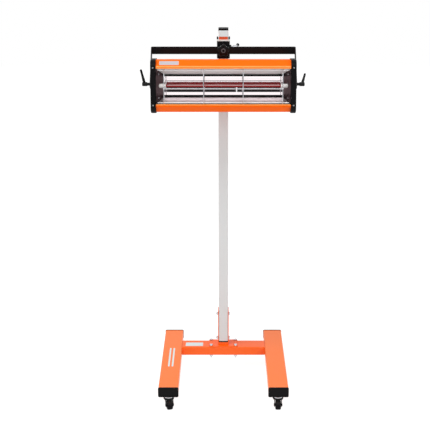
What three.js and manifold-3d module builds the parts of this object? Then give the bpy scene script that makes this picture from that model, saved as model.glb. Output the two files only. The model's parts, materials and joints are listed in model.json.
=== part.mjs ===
// Infrared curing lamp on a rolling stand: a steel H-base on four swivel casters, a square mast,
// a carriage that slides on the mast, a yoke that swivels on the carriage, and a lamp head that
// tilts in the yoke. Millimetres, +Z up, +Y to the rear, origin on the floor at the centre of the base.
import * as THREE from 'three';
import { mergeVertices } from 'three/addons/utils/BufferGeometryUtils.js';
import Module from 'manifold-3d';

const wasm = await Module();
wasm.setup();

// Fits shared by all pieces
const seat = 0.3;
const slip = 0.3;
const sheetWall = 2;

// Base frame
const legSpacing = 442;
const legWidth = 80;
const legHeight = 40;
const legLength = 576;
const legCorner = 4;
const legBottom = 64;
const crossDepth = 76;
const crossHeight = 38;
const crossOffset = 142;
const plugFlange = 4;
const plugOverhang = 1.2;
const plugInsert = 16;
const plugWall = 3;
const plugRecess = 1;
const plugBorder = 5;

// Casters
const casterInset = 29;
const wheelDiameter = 40;
const wheelWidth = 24;
const casterTrail = 14;
const forkWall = 2.5;
const crownDiameter = 44;
const crownWall = 8.3;
const crownGap = 2.6;
const axleDiameter = 8;
const kingpinDiameter = 8;
const kingpinHead = 2.6;
const stemDiameter = 10;
const stemLength = 17;
const stemNutHeight = 8;
const frontLeftTurn = 14;
const rearTurn = 160;

// Mast socket and its fasteners
const socketPlateDepth = 74;
const socketPlateWall = 4;
const socketWall = 2.5;
const socketHeight = 160;
const socketLip = 12;
const boltDiameter = 8;
const boltHeadAcross = 13;
const boltHeadHeight = 5.3;
const boltNutHeight = 6.5;
const boltTip = 8;
const boltSpanX = 106;
const boltEdge = 9;
const boltSpanY = 56;
const crossBoltLow = 26;
const crossBoltHigh = 138.5;

// Mast
const mastWidth = 40;
const mastCorner = 3;
const mastTop = 1476;

// Carriage
const carriageWidth = 52;
const carriageWall = 3;
const carriageHeight = 63;
const carriageBelowTop = 109;
const glideHeight = 18;
const glideFlange = 5.5;
const bossRadius = 14;
const bossLength = 18;
const pivotStudDiameter = 10;
const pivotStudEmbed = 12;
const frictionWasherRadius = 20;
const frictionWasherWall = 2.7;
const starKnobRadius = 25;
const starKnobLobes = 5;
const starKnobWall = 15;
const starKnobNeck = 7;
const clampHubRadius = 8;
const clampHubLength = 14;
const clampShankDiameter = 8;
const clampPadRadius = 9;
const clampArmRadius = 2.5;
const clampArmReach = 35;
const clampArmLean = 22;
const clampTurn = -82;
const clampBallRadius = 6;

// Yoke
const yokeSpan = 575;
const yokeWall = 4;
const yokeBarHeight = 30;
const yokeArmRadius = 18;
const yokeArmShoulder = 14;
const yokeBend = 8;

// Lamp head, measured from the middle of its housing, which hangs below the tilt axis
const tiltDrop = 115;
const tiltForward = 118;
const headDrop = 5;
const headRestTilt = 6;
const yokeClearance = 2;
const headFront = 70;
const headBack = 50;
const headHalfHeight = 101;
const lipHalfHeight = 77;
const openingHalfHeight = 69.5;
const shoulderDepth = 37;
const rearChamfer = 20;
const rearHalfHeight = 83;
const capWidth = 20.5;
const capProud = 3;
const capCorner = 26;
const capRound = 5;
const capWall = 4;
const capPocket = 11;
const reflectorWall = 1;
const reflectorFront = 60;
const reflectorFrontHalf = 66.5;
const reflectorBack = 10;
const reflectorBackHalf = 44;
const backPanelHalf = 36.2;
const backPanelBend = 5;
const backPanelFold = -25;
const backPanelLeanTop = 3.3;
const backPanelLeanBottom = 1.6;
const endReflectorSlant = 28;
const tubeDiameter = 12;
const tubeEndRoom = 3.2;
const tubeForward = 35;
const tubeRise = 1;
const ceramicDiameter = 16;
const ceramicLength = 34.5;
const guardWireRadius = 1.8;
const guardBow = 16;
const guardEndInset = 33;
const guardStandHalf = 44;
const guardLevelDrop = 7;
const tubeSupportOffset = 50;
const tubeSupportWall = 3;
const tubeSupportHeight = 16;

// Tilt clamps
const tiltStudDiameter = 8;
const tiltStudEmbed = 14;
const tiltWasherRadius = 13;
const leverNeckRadius = 6;
const leverNeckLength = 10;
const leverHubRadius = 8.2;
const leverHubLength = 20;
const leverStudDepth = 20;
const leverReach = 60;
const leverLean = 14;
const leverRootRadius = 5.6;
const leverTipRadius = 4.4;
const rightLeverTurn = -54;

// Rear fittings
const ventRows = 2;
const ventColumns = 8;
const ventWeb = 10;
const ventHeight = 5;
const ventEndInset = 107;
const ventPitchZ = 128;
const switchInset = 56;
const switchWidth = 28;
const switchHeight = 21;
const switchBezel = 2;
const rockerProud = 5;
const rockerTilt = 8;
const glandInset = 56;
const glandRadius = 8;
const glandNutRadius = 12;
const glandLength = 20;
const terminalInset = 116;
const terminalWidth = 46;
const terminalHeight = 22;
const terminalDepth = 16;

// Places worked out from the sizes
const legTop = legBottom + legHeight;
const crossTop = legTop - (legHeight - crossHeight) / 2;
const crossBottom = crossTop - crossHeight;
const legX = legSpacing / 2;
const legEnd = legLength / 2;
const crossEnd = legX - legWidth / 2 - seat;
const socketFloor = crossTop + seat + socketPlateWall;
const socketPlateWidth = boltSpanX + 2 * boltEdge;
const mastBottom = socketFloor + seat;
const mastHalf = mastWidth / 2;
const socketInner = mastHalf + slip;
const socketOuter = socketInner + socketWall;
const crossBolts = [socketFloor + crossBoltLow, socketFloor + crossBoltHigh];
const boltHole = boltDiameter / 2 + slip;
const carriageBottom = mastTop - carriageBelowTop;
const carriageTop = carriageBottom + carriageHeight;
const carriageHalf = carriageWidth / 2;
const carriageInner = carriageHalf - carriageWall;
const clampFace = carriageHalf + 6;
const yokeAxisZ = carriageBottom + yokeBarHeight;
const bossFace = crossOffset - carriageHalf - bossLength;
const barBack = bossFace - frictionWasherWall - 2 * seat;
const barFront = barBack - yokeWall;
const knobBack = barFront - seat;
const clampZ = carriageBottom + carriageHeight / 2 + 5;
const tiltY = (barFront + barBack) / 2 - tiltForward - 2;
const tiltZ = yokeAxisZ - tiltDrop;
const armOuter = yokeSpan / 2;
const armInner = armOuter - yokeWall;
const capOuter = armInner - yokeClearance;
const capInner = capOuter - capWidth;
const studTip = knobBack - starKnobNeck - starKnobWall / 2;
const shellEnd = capInner - seat;
const shellRear = headBack - rearChamfer;
const tubeHalf = capInner - tubeEndRoom - ceramicLength - seat;
const ceramicNeck = ceramicDiameter / 2 - 2.5;
const guardEnd = capInner - guardEndInset;
const guardSpacing = 2 * guardEnd / 3;
const ventPitchX = 2 * (capInner - ventEndInset) / (ventColumns - 1);
const ventLength = ventPitchX - ventWeb;
const switchX = capInner - switchInset;
const switchCutWidth = switchWidth - 2 * switchBezel;
const switchCutHeight = switchHeight - 2 * switchBezel;
const rockerHalf = switchCutWidth / 2 - 2.8;
const glandX = glandInset - capInner;
const terminalX = terminalInset - capInner;

// Geometry helpers
const rad = THREE.MathUtils.degToRad;

function shapeOf(points) {
  return new THREE.Shape(points.map(([u, v]) => new THREE.Vector2(u, v)));
}

function circle(radius, u = 0, v = 0) {
  return new THREE.Shape().absarc(u, v, radius, 0, 2 * Math.PI, false);
}

function roundedRect(width, height, corner) {
  const x = width / 2 - corner;
  const y = height / 2 - corner;
  const shape = new THREE.Shape();
  shape.absarc(x, y, corner, 0, Math.PI / 2, false);
  shape.absarc(-x, y, corner, Math.PI / 2, Math.PI, false);
  shape.absarc(-x, -y, corner, Math.PI, 1.5 * Math.PI, false);
  shape.absarc(x, -y, corner, 1.5 * Math.PI, 2 * Math.PI, false);
  return shape;
}

function tubeShape(width, height, corner, wall) {
  const shape = roundedRect(width, height, corner);
  shape.holes.push(roundedRect(width - 2 * wall, height - 2 * wall, Math.max(corner - wall, 0.5)));
  return shape;
}

// Extrusions whose shape lies across the named axis, from one place on it to another.
// Each arc of the shape is drawn with twice its number of curve segments.
function extrude(shape, length, curveSegments = 1) {
  return new THREE.ExtrudeGeometry(shape, { depth: length, bevelEnabled: false, curveSegments });
}

function alongZ(shape, from, to, curveSegments) {
  return extrude(shape, to - from, curveSegments).translate(0, 0, from);
}

function alongX(shape, from, to, curveSegments) {
  const axes = new THREE.Matrix4().makeBasis(
    new THREE.Vector3(0, 1, 0), new THREE.Vector3(0, 0, 1), new THREE.Vector3(1, 0, 0));
  return extrude(shape, to - from, curveSegments).applyMatrix4(axes).translate(from, 0, 0);
}

function alongY(shape, from, to, curveSegments) {
  const axes = new THREE.Matrix4().makeBasis(
    new THREE.Vector3(1, 0, 0), new THREE.Vector3(0, 0, 1), new THREE.Vector3(0, -1, 0));
  return extrude(shape, to - from, curveSegments).applyMatrix4(axes).translate(0, to, 0);
}

function block(x0, x1, y0, y1, z0, z1) {
  const geometry = new THREE.BoxGeometry(x1 - x0, y1 - y0, z1 - z0);
  return geometry.translate((x0 + x1) / 2, (y0 + y1) / 2, (z0 + z1) / 2);
}

// A turned piece about Z: profile points are [radius, height] from the bottom up
function turned(profile, segments = 16) {
  const points = profile.map(([r, h]) => new THREE.Vector2(r, h));
  return new THREE.LatheGeometry(points, segments).rotateX(Math.PI / 2);
}

function rod(radius, from, to, segments = 16) {
  return turned([[0, from], [radius, from], [radius, to], [0, to]], segments);
}

function ring(outer, inner, from, to, segments = 20) {
  const profile = [[inner, from], [outer, from], [outer, to], [inner, to], [inner, from]];
  return turned(profile, segments);
}

const towardX = (geometry) => geometry.rotateY(Math.PI / 2);
const towardY = (geometry) => geometry.rotateX(-Math.PI / 2);
const towardFront = (geometry) => geometry.rotateX(Math.PI / 2);

function hexagon(across) {
  const corner = across / Math.sqrt(3);
  const steps = [0, 1, 2, 3, 4, 5];
  return shapeOf(steps.map((i) => [corner * Math.cos(rad(60 * i)), corner * Math.sin(rad(60 * i))]));
}

// A hexagon bolt along Z with its nut screwed on: the two faces that it clamps lie between them
function boltWithNut(nutFace, headFace, tip) {
  const nutEnd = nutFace - boltNutHeight;
  const head = alongZ(hexagon(boltHeadAcross), headFace, headFace + boltHeadHeight);
  const nut = alongZ(hexagon(boltHeadAcross), nutEnd, nutFace);
  const shank = turned([
    [0, nutEnd - tip], [boltDiameter / 2 - 1.2, nutEnd - tip], [boltDiameter / 2, nutEnd - tip + 1.2],
    [boltDiameter / 2, headFace + 1], [0, headFace + 1]], 10);
  return join(head, nut, shank);
}

// A flat sheet between four corners, thickened along the normal of its corner order
function sheet(corners, thickness) {
  const [a, b, c, d] = corners.map((p) => new THREE.Vector3(...p));
  const normal = b.clone().sub(a).cross(d.clone().sub(a)).normalize().multiplyScalar(thickness);
  const top = [a, b, c, d].map((p) => p.clone().add(normal));
  const all = [a, b, c, d, ...top];
  const geometry = new THREE.BufferGeometry();
  geometry.setAttribute('position', new THREE.Float32BufferAttribute(all.flatMap((p) => p.toArray()), 3));
  geometry.setIndex([
    0, 2, 1, 0, 3, 2, 4, 5, 6, 4, 6, 7, 0, 1, 5, 0, 5, 4,
    1, 2, 6, 1, 6, 5, 2, 3, 7, 2, 7, 6, 3, 0, 4, 3, 4, 7]);
  return geometry;
}

// A folded sheet: the outline of an open line of points given a wall on its inner side
function folded(points, wall) {
  const line = points.map(([u, v]) => new THREE.Vector2(u, v));
  const inner = line.map((point, i) => {
    const before = line[Math.max(i - 1, 0)];
    const after = line[Math.min(i + 1, line.length - 1)];
    const into = (i > 0 ? point.clone().sub(before) : after.clone().sub(point)).normalize();
    const out = (i < line.length - 1 ? after.clone().sub(point) : into.clone()).normalize();
    const normalIn = new THREE.Vector2(into.y, -into.x);
    const normalOut = new THREE.Vector2(out.y, -out.x);
    const mitre = normalIn.clone().add(normalOut).normalize();
    return point.clone().add(mitre.multiplyScalar(wall / mitre.dot(normalIn)));
  });
  return new THREE.Shape([...line, ...inner.reverse()]);
}

// Cutting and joining
function solid(geometry) {
  const bare = new THREE.BufferGeometry();
  bare.setAttribute('position', geometry.getAttribute('position').clone());
  if (geometry.index) bare.setIndex(geometry.index.clone());
  const merged = mergeVertices(bare, 1e-4);
  const index = Array.from(merged.index.array);
  const kept = [];
  for (let i = 0; i < index.length; i += 3) {
    const [a, b, c] = index.slice(i, i + 3);
    if (a !== b && b !== c && c !== a) kept.push(a, b, c);
  }
  const mesh = new wasm.Mesh({
    numProp: 3,
    vertProperties: new Float32Array(merged.getAttribute('position').array),
    triVerts: new Uint32Array(kept),
  });
  return new wasm.Manifold(mesh);
}

function surface(body) {
  const mesh = body.getMesh();
  const geometry = new THREE.BufferGeometry();
  geometry.setAttribute('position', new THREE.BufferAttribute(mesh.vertProperties, 3));
  geometry.setIndex(new THREE.BufferAttribute(mesh.triVerts, 1));
  return geometry;
}

function join(...pieces) {
  return surface(pieces.map(solid).reduce((a, b) => a.add(b)));
}

function cut(piece, ...tools) {
  return surface(tools.map(solid).reduce((a, b) => a.subtract(b), solid(piece)));
}

// Finishes
const finishes = {
  orange: { color: 0xff641c, roughness: 0.42, metalness: 0 },
  black: { color: 0x1c1a1e, roughness: 0.55, metalness: 0 },
  powder: { color: 0x19191b, roughness: 0.5, metalness: 0.1 },
  tread: { color: 0x161416, roughness: 0.8, metalness: 0 },
  mast: { color: 0xd4d5d6, roughness: 0.4, metalness: 0.4 },
  zinc: { color: 0xc4c6ca, roughness: 0.35, metalness: 0.9 },
  mirror: { color: 0xeae6e6, roughness: 0.12, metalness: 1 },
  nylon: { color: 0xe8e6e0, roughness: 0.5, metalness: 0 },
  quartz: { color: 0x9c1018, roughness: 0.08, metalness: 0 },
  ceramic: { color: 0xf3efea, roughness: 0.6, metalness: 0 },
};

function piece(name, geometry, finish) {
  geometry.computeVertexNormals();
  const mesh = new THREE.Mesh(geometry, new THREE.MeshStandardMaterial(finishes[finish]));
  mesh.name = name;
  return mesh;
}

// Base frame
function legTube(side) {
  const place = side * legX;
  const tube = alongY(tubeShape(legWidth, legHeight, legCorner, sheetWall), -legEnd, legEnd);
  tube.translate(0, 0, legBottom + legHeight / 2);
  const holes = casterPlaces.filter((c) => c.side === side).map((c) => (
    rod(stemDiameter / 2 + slip, legBottom - 1, legBottom + sheetWall + 1).translate(0, c.y, 0)));
  return cut(tube, ...holes).translate(place, 0, 0);
}

function tubePlug(width, height, corner, flange, overhang) {
  const bore = 2 * (sheetWall + slip);
  const insertCorner = Math.max(corner - sheetWall, 0.5);
  const insert = tubeShape(width - bore, height - bore, insertCorner, plugWall);
  const outline = roundedRect(width + 2 * overhang, height + 2 * overhang, corner + overhang);
  const plate = alongZ(outline, 0, flange);
  const face = roundedRect(width - 2 * plugBorder, height - 2 * plugBorder, insertCorner);
  const recess = alongZ(face, flange - plugRecess, flange + 1);
  return join(cut(plate, recess), alongZ(insert, -seat - plugInsert, 1 - seat));
}

function legPlug(side, end) {
  const plug = tubePlug(legWidth, legHeight, legCorner, plugFlange, plugOverhang);
  const turnedPlug = end < 0 ? towardFront(plug) : towardY(plug);
  return turnedPlug.translate(side * legX, end * (legEnd + seat), legBottom + legHeight / 2);
}

const socketBolts = [-1, 1].flatMap((i) => (
  [-1, 1].map((j) => [i * boltSpanX / 2, crossOffset + j * boltSpanY / 2])));

function crossTube() {
  const tube = alongX(tubeShape(crossDepth, crossHeight, legCorner, sheetWall), -crossEnd, crossEnd);
  tube.translate(0, crossOffset, (crossTop + crossBottom) / 2);
  const holes = socketBolts.map(([x, y]) => (
    rod(boltHole, crossBottom - 1, crossTop + 1, 12).translate(x, y, 0)));
  return cut(tube, ...holes);
}

function mastSocket() {
  const plateBottom = crossTop + seat;
  const top = socketFloor + socketHeight;
  const front = crossOffset - mastHalf - slip;
  const back = crossOffset + mastHalf + slip;
  const plate = alongZ(roundedRect(socketPlateWidth, socketPlateDepth, 6), plateBottom, socketFloor);
  plate.translate(0, crossOffset, 0);
  const sides = [-socketOuter, socketInner].map((x) => (
    block(x, x + socketWall, front, back + socketWall, socketFloor - 1, top)));
  const rear = block(-socketOuter, socketOuter, back, back + socketWall, socketFloor - 1, top);
  const lip = block(-socketOuter, socketOuter, front - socketWall, front, socketFloor - 1, socketFloor + socketLip);
  const holes = socketBolts.map(([x, y]) => (
    rod(boltHole, plateBottom - 1, socketFloor + 1, 12).translate(x, y, 0)));
  const crossHoles = crossBolts.map((z) => (
    towardX(rod(boltHole, -socketOuter - 1, socketOuter + 1, 12)).translate(0, crossOffset, z)));
  return cut(join(plate, ...sides, rear, lip), ...holes, ...crossHoles);
}

function socketBolt([x, y]) {
  return boltWithNut(crossBottom - seat, socketFloor + seat, boltTip).translate(x, y, 0);
}

function mastCrossBolt(z) {
  const face = socketOuter + seat;
  return towardX(boltWithNut(-face, face, 1.5)).translate(0, crossOffset, z);
}

// Mast
function mastTube() {
  const tube = alongZ(tubeShape(mastWidth, mastWidth, mastCorner, sheetWall), mastBottom, mastTop);
  tube.translate(0, crossOffset, 0);
  const holes = crossBolts.map((z) => (
    towardX(rod(boltHole, -mastHalf - 1, mastHalf + 1, 12)).translate(0, crossOffset, z)));
  return cut(tube, ...holes);
}

function mastTopCap() {
  return tubePlug(mastWidth, mastWidth, mastCorner, plugFlange, 0).translate(0, crossOffset, mastTop + seat);
}

// Casters, each modelled about its swivel axis with its wheel trailing toward +X
const casterPlaces = [
  { name: 'front_left', side: -1, y: -(legEnd - casterInset), turn: -90 + frontLeftTurn },
  { name: 'front_right', side: 1, y: -(legEnd - casterInset), turn: -90 },
  { name: 'rear_left', side: -1, y: legEnd - casterInset, turn: -90 + rearTurn },
  { name: 'rear_right', side: 1, y: legEnd - casterInset, turn: -90 - rearTurn },
];
const wheelRadius = wheelDiameter / 2;
const crownBottom = wheelDiameter + crownGap;
const crownTop = crownBottom + crownWall;
const cheekInner = wheelWidth / 2 + 1;
const cheekOuter = cheekInner + forkWall;
const kingpinRadius = kingpinDiameter / 2;

function casterStem() {
  const headRadius = kingpinRadius + 2.2;
  const raceBottom = crownTop + seat;
  const plate = legBottom - seat;
  const race = crownDiameter / 2;
  const floor = legBottom + sheetWall + seat;
  const nut = alongZ(hexagon(1.7 * stemDiameter), floor, floor + stemNutHeight);
  return join(nut, turned([
    [0, crownBottom - seat - kingpinHead], [headRadius, crownBottom - seat - kingpinHead],
    [headRadius, crownBottom - seat], [kingpinRadius, crownBottom - seat],
    [kingpinRadius, raceBottom], [race - 1, raceBottom], [race - 1, raceBottom + 3],
    [race - 6, raceBottom + 6], [race - 6, plate - 3], [race, plate - 3], [race, plate],
    [stemDiameter / 2, plate], [stemDiameter / 2, plate + stemLength], [0, plate + stemLength]], 12));
}

function casterFork() {
  const crown = ring(crownDiameter / 2, kingpinRadius + slip, crownBottom, crownTop);
  const eye = forkWall + axleDiameter / 2;
  const cheekShape = shapeOf([
    [casterTrail - eye, wheelRadius - eye], [casterTrail + eye, wheelRadius - eye],
    [casterTrail + eye + 1, wheelRadius + eye], [casterTrail + 2, crownTop - 0.5],
    [-crownDiameter / 2 + 8, crownTop - 0.5], [-crownDiameter / 2 + 10, crownBottom - 4]]);
  const cheeks = [-cheekOuter, cheekInner].map((y) => alongY(cheekShape, y, y + forkWall));
  const head = axleDiameter / 2 + 1.6;
  const end = cheekOuter + 1.8;
  const axle = turned([
    [0, -end], [head, -end], [head, -cheekInner], [axleDiameter / 2, -cheekInner],
    [axleDiameter / 2, cheekInner], [head, cheekInner], [head, end], [0, end]], 16);
  return join(crown, ...cheeks, towardY(axle).translate(casterTrail, 0, wheelRadius));
}

function casterWheel() {
  const half = wheelWidth / 2;
  const bore = axleDiameter / 2 + slip;
  const web = wheelRadius - 7;
  const boss = axleDiameter / 2 + 4;
  const profile = [
    [bore, -half], [boss, -half], [boss, -half + 4], [web, -half + 4], [web + 1.5, -half + 1],
    [wheelRadius - 3, -half + 1], [wheelRadius, -half + 5], [wheelRadius, half - 5],
    [wheelRadius - 3, half - 1], [web + 1.5, half - 1], [web, half - 4], [boss, half - 4],
    [boss, half], [bore, half], [bore, -half]];
  return towardY(turned(profile, 20)).translate(casterTrail, 0, wheelRadius);
}

function placedCaster(place) {
  const group = new THREE.Group();
  group.position.set(place.side * legX, place.y, 0);
  group.rotation.z = rad(place.turn);
  group.add(
    piece(`caster_fork_${place.name}`, casterFork(), 'powder'),
    piece(`caster_wheel_${place.name}`, casterWheel(), 'tread'));
  return group;
}

// Carriage
function carriageSleeve() {
  const section = tubeShape(carriageWidth, carriageWidth, mastCorner + 2, carriageWall);
  const tube = alongZ(section, carriageBottom, carriageTop);
  tube.translate(0, crossOffset, 0);
  const boss = towardY(rod(bossRadius, bossFace, crossOffset - carriageHalf + 1, 20)).translate(0, 0, yokeAxisZ);
  const pad = towardX(rod(clampPadRadius, carriageHalf - 1, clampFace)).translate(0, crossOffset, clampZ);
  const studHole = towardY(rod(pivotStudDiameter / 2 + slip, bossFace - 1, bossFace + pivotStudEmbed + seat));
  const clampHole = towardX(rod(clampShankDiameter / 2 + slip, carriageInner - 1, clampFace + 1));
  return cut(join(tube, boss, pad), studHole.translate(0, 0, yokeAxisZ),
    clampHole.translate(0, crossOffset, clampZ));
}

function carriageGlide() {
  const bore = 2 * (mastHalf + slip);
  const outer = 2 * (carriageInner - slip);
  const wall = (outer - bore) / 2;
  const insert = alongZ(tubeShape(outer, outer, mastCorner + 1, wall), -glideHeight, seat + 1);
  const flangeWall = (carriageWidth - bore) / 2;
  const flange = tubeShape(carriageWidth, carriageWidth, mastCorner + 2, flangeWall);
  return join(insert, alongZ(flange, seat, seat + glideFlange));
}

function upperGlide() {
  return carriageGlide().translate(0, crossOffset, carriageTop);
}

function lowerGlide() {
  return carriageGlide().rotateX(Math.PI).translate(0, crossOffset, carriageBottom);
}

function yokePivotStud() {
  return towardY(rod(pivotStudDiameter / 2, studTip, bossFace + pivotStudEmbed)).translate(0, 0, yokeAxisZ);
}

function frictionWasher() {
  const bore = pivotStudDiameter / 2 + slip;
  const washer = ring(frictionWasherRadius, bore, barBack + seat, barBack + seat + frictionWasherWall, 24);
  return towardY(washer).translate(0, 0, yokeAxisZ);
}

function starKnob() {
  const steps = starKnobLobes * 6;
  const outline = Array.from({ length: steps }, (_, i) => {
    const angle = 2 * Math.PI * i / steps;
    const dip = 0.5 - 0.5 * Math.cos(starKnobLobes * angle);
    const radius = starKnobRadius - 2 - 0.2 * starKnobRadius * dip;
    return [radius * Math.sin(angle), radius * Math.cos(angle)];
  });
  const bevel = 2;
  const body = new THREE.ExtrudeGeometry(shapeOf(outline), {
    depth: starKnobWall - 2 * bevel, bevelThickness: bevel, bevelSize: bevel, bevelSegments: 1 });
  body.translate(0, 0, bevel);
  const neck = rod(starKnobRadius * 0.45, -starKnobNeck, 1);
  const bore = rod(pivotStudDiameter / 2 + slip, -starKnobNeck - 1, starKnobWall / 2 + seat);
  const dish = rod(starKnobRadius * 0.38, starKnobWall - 1.5, starKnobWall + 1);
  const knob = cut(join(body, neck), bore, dish);
  return towardFront(knob).translate(0, knobBack - starKnobNeck, yokeAxisZ);
}

// Height clamp: hub and pad shank about the X axis, arm up, and a ball moulded on the arm
function heightClampLever() {
  const hub = rod(clampHubRadius, clampFace + seat, clampFace + seat + clampHubLength, 20);
  const shank = rod(clampShankDiameter / 2, mastHalf + slip, clampFace + seat + 1, 16);
  const arm = rod(clampArmRadius, 0, clampArmReach, 10);
  const ball = new THREE.SphereGeometry(clampBallRadius, 12, 8).translate(0, 0, clampArmReach);
  const handle = join(arm, ball).rotateY(rad(clampArmLean));
  return join(towardX(join(hub, shank)), handle.translate(clampFace + seat + clampHubLength / 2, 0, 0));
}

function heightClamp() {
  const group = new THREE.Group();
  group.position.set(0, crossOffset, clampZ);
  group.rotation.x = rad(clampTurn);
  group.add(piece('height_clamp_lever', heightClampLever(), 'zinc'));
  return group;
}

// Yoke: a flat bar bent forward into two arms
function yoke() {
  const bend = yokeBend;
  const end = barFront - yokeArmShoulder;
  const low = yokeAxisZ - yokeBarHeight / 2;
  const high = yokeAxisZ + yokeBarHeight / 2;
  const mid = barBack - bend;
  const strip = new THREE.Shape();
  strip.moveTo(-armOuter, end);
  strip.absarc(-armOuter + bend, mid, bend, Math.PI, Math.PI / 2, true);
  strip.absarc(armOuter - bend, mid, bend, Math.PI / 2, 0, true);
  strip.lineTo(armOuter, end);
  strip.lineTo(armInner, end);
  strip.absarc(armOuter - bend, mid, bend - yokeWall, 0, Math.PI / 2, false);
  strip.absarc(-armOuter + bend, mid, bend - yokeWall, Math.PI / 2, Math.PI, false);
  strip.lineTo(-armInner, end);
  const bar = alongZ(strip, low, high, 2);
  const slope = Math.atan2(yokeAxisZ - tiltZ, mid - tiltY);
  const arm = new THREE.Shape();
  arm.moveTo(mid, high);
  arm.lineTo(end, high);
  arm.absarc(tiltY, tiltZ, yokeArmRadius, slope + Math.PI / 2, slope + 1.5 * Math.PI, false);
  arm.lineTo(mid, low);
  const arms = [-armOuter, armInner].map((x) => alongX(arm, x, x + yokeWall, 5));
  const barHole = towardY(rod(pivotStudDiameter / 2 + slip, barFront - 1, barBack + 1));
  const armHoles = towardX(rod(tiltStudDiameter / 2 + slip, -armOuter - 1, armOuter + 1));
  return cut(
    join(bar, ...arms),
    barHole.translate(0, 0, yokeAxisZ),
    armHoles.translate(0, tiltY, tiltZ));
}

// Tilt clamp lever, modelled along +X from the yoke arm with its handle up
function tiltLever() {
  const end = leverNeckLength + leverHubLength;
  const hub = turned([
    [0, 0], [leverNeckRadius, 0], [leverNeckRadius, leverNeckLength], [leverHubRadius, leverNeckLength + 2],
    [leverHubRadius, end - 3], [leverHubRadius - 2, end], [0, end]]);
  const handle = turned([
    [0, 0], [leverRootRadius, 0], [leverTipRadius, leverReach - leverTipRadius],
    [leverTipRadius * 0.75, leverReach - 1.2], [0, leverReach]], 12);
  handle.rotateY(rad(leverLean)).translate(leverNeckLength + leverHubLength / 2, 0, 0);
  const bore = rod(tiltStudDiameter / 2 + slip, -1, leverStudDepth + seat, 14);
  return cut(join(towardX(hub), handle), towardX(bore));
}

function placedLever(name, side, turn) {
  const group = new THREE.Group();
  group.position.set(side * (armOuter + seat), 0, 0);
  group.rotation.set(rad(turn), 0, side < 0 ? Math.PI : 0);
  group.add(piece(name, tiltLever(), 'black'));
  return group;
}

// A stud with a washer collar that runs between the end cap and the yoke arm
function tiltStud() {
  const radius = tiltStudDiameter / 2;
  const capFace = capOuter + seat;
  const armFace = armInner - seat;
  return towardX(turned([
    [0, capOuter - tiltStudEmbed], [radius, capOuter - tiltStudEmbed], [radius, capFace],
    [tiltWasherRadius, capFace], [tiltWasherRadius, armFace], [radius, armFace],
    [radius, armOuter + leverStudDepth], [0, armOuter + leverStudDepth]])).translate(0, 0, headDrop);
}

// Lamp head, modelled about the middle of its housing
function upperHousing() {
  const outline = folded([
    [-headFront, openingHalfHeight], [-headFront, lipHalfHeight],
    [-headFront + shoulderDepth, headHalfHeight], [shellRear, headHalfHeight]], sheetWall);
  return alongX(outline, -shellEnd, shellEnd);
}

function lowerHousing() {
  return upperHousing().rotateY(Math.PI);
}

function rearCover() {
  const start = shellRear + seat;
  const fold = start + sheetWall;
  const outline = folded([
    [start, headHalfHeight], [fold, headHalfHeight], [headBack, rearHalfHeight],
    [headBack, -rearHalfHeight], [fold, -headHalfHeight], [start, -headHalfHeight]], sheetWall);
  const near = headBack - sheetWall - 1;
  const far = headBack + 1;
  const vents = [];
  for (let row = 0; row < ventRows; row += 1) {
    for (let column = 0; column < ventColumns; column += 1) {
      const x = (column - (ventColumns - 1) / 2) * ventPitchX;
      const z = (row - (ventRows - 1) / 2) * ventPitchZ;
      const vent = block(-ventLength / 2, ventLength / 2, near, far, -ventHeight / 2, ventHeight / 2);
      vents.push(vent.translate(x, 0, z));
    }
  }
  const x = switchCutWidth / 2;
  const z = switchCutHeight / 2;
  const switchCut = block(switchX - x, switchX + x, near, far, -z, z);
  const glandHole = towardY(rod(glandRadius + slip, near, far)).translate(glandX, 0, 0);
  return cut(alongX(outline, -shellEnd, shellEnd), ...vents, switchCut, glandHole);
}

function endCap() {
  const depth = headFront + headBack + 2 * capProud;
  const height = 2 * (headHalfHeight + capProud);
  const middle = (headBack - headFront) / 2;
  const outline = roundedRect(depth - 2 * capRound, height - 2 * capRound, capCorner - capRound);
  const body = new THREE.ExtrudeGeometry(outline, {
    depth: capWidth - capRound,
    bevelThickness: capRound,
    bevelSize: capRound,
    bevelSegments: 2,
    curveSegments: 2,
  });
  const upright = new THREE.Matrix4().makeBasis(
    new THREE.Vector3(0, 1, 0), new THREE.Vector3(0, 0, 1), new THREE.Vector3(1, 0, 0));
  body.applyMatrix4(upright).translate(capInner, middle, 0);
  const inside = block(capInner - 2 * capRound, capInner, middle - depth, middle + depth, -height, height);
  const rim = 2 * (capWall + capProud);
  const hollow = roundedRect(depth - rim, height - rim, capCorner - capWall);
  const pocket = alongX(hollow, capInner - 1, capInner + capPocket, 2).translate(0, middle, 0);
  const studPost = towardX(rod(tiltStudDiameter, capInner + 1, capInner + capPocket + 1));
  const studHole = towardX(rod(tiltStudDiameter / 2 + slip, capOuter - tiltStudEmbed - seat, capOuter + 1));
  studPost.translate(0, 0, headDrop);
  studHole.translate(0, 0, headDrop);
  return cut(join(cut(body, inside, pocket), studPost), studHole);
}

// Reflector trough
const trough = {
  front: -reflectorFront,
  back: -reflectorBack,
  frontX: shellEnd - reflectorWall,
  backX: shellEnd - reflectorWall - endReflectorSlant,
};

function sideReflector() {
  const { front, back, frontX, backX } = trough;
  const edge = 0.5;
  return sheet([
    [-frontX + edge, front, reflectorFrontHalf], [frontX - edge, front, reflectorFrontHalf],
    [backX - edge, back, reflectorBackHalf], [-backX + edge, back, reflectorBackHalf]], reflectorWall);
}

function lowerReflector() {
  return sideReflector().rotateY(Math.PI);
}

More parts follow.
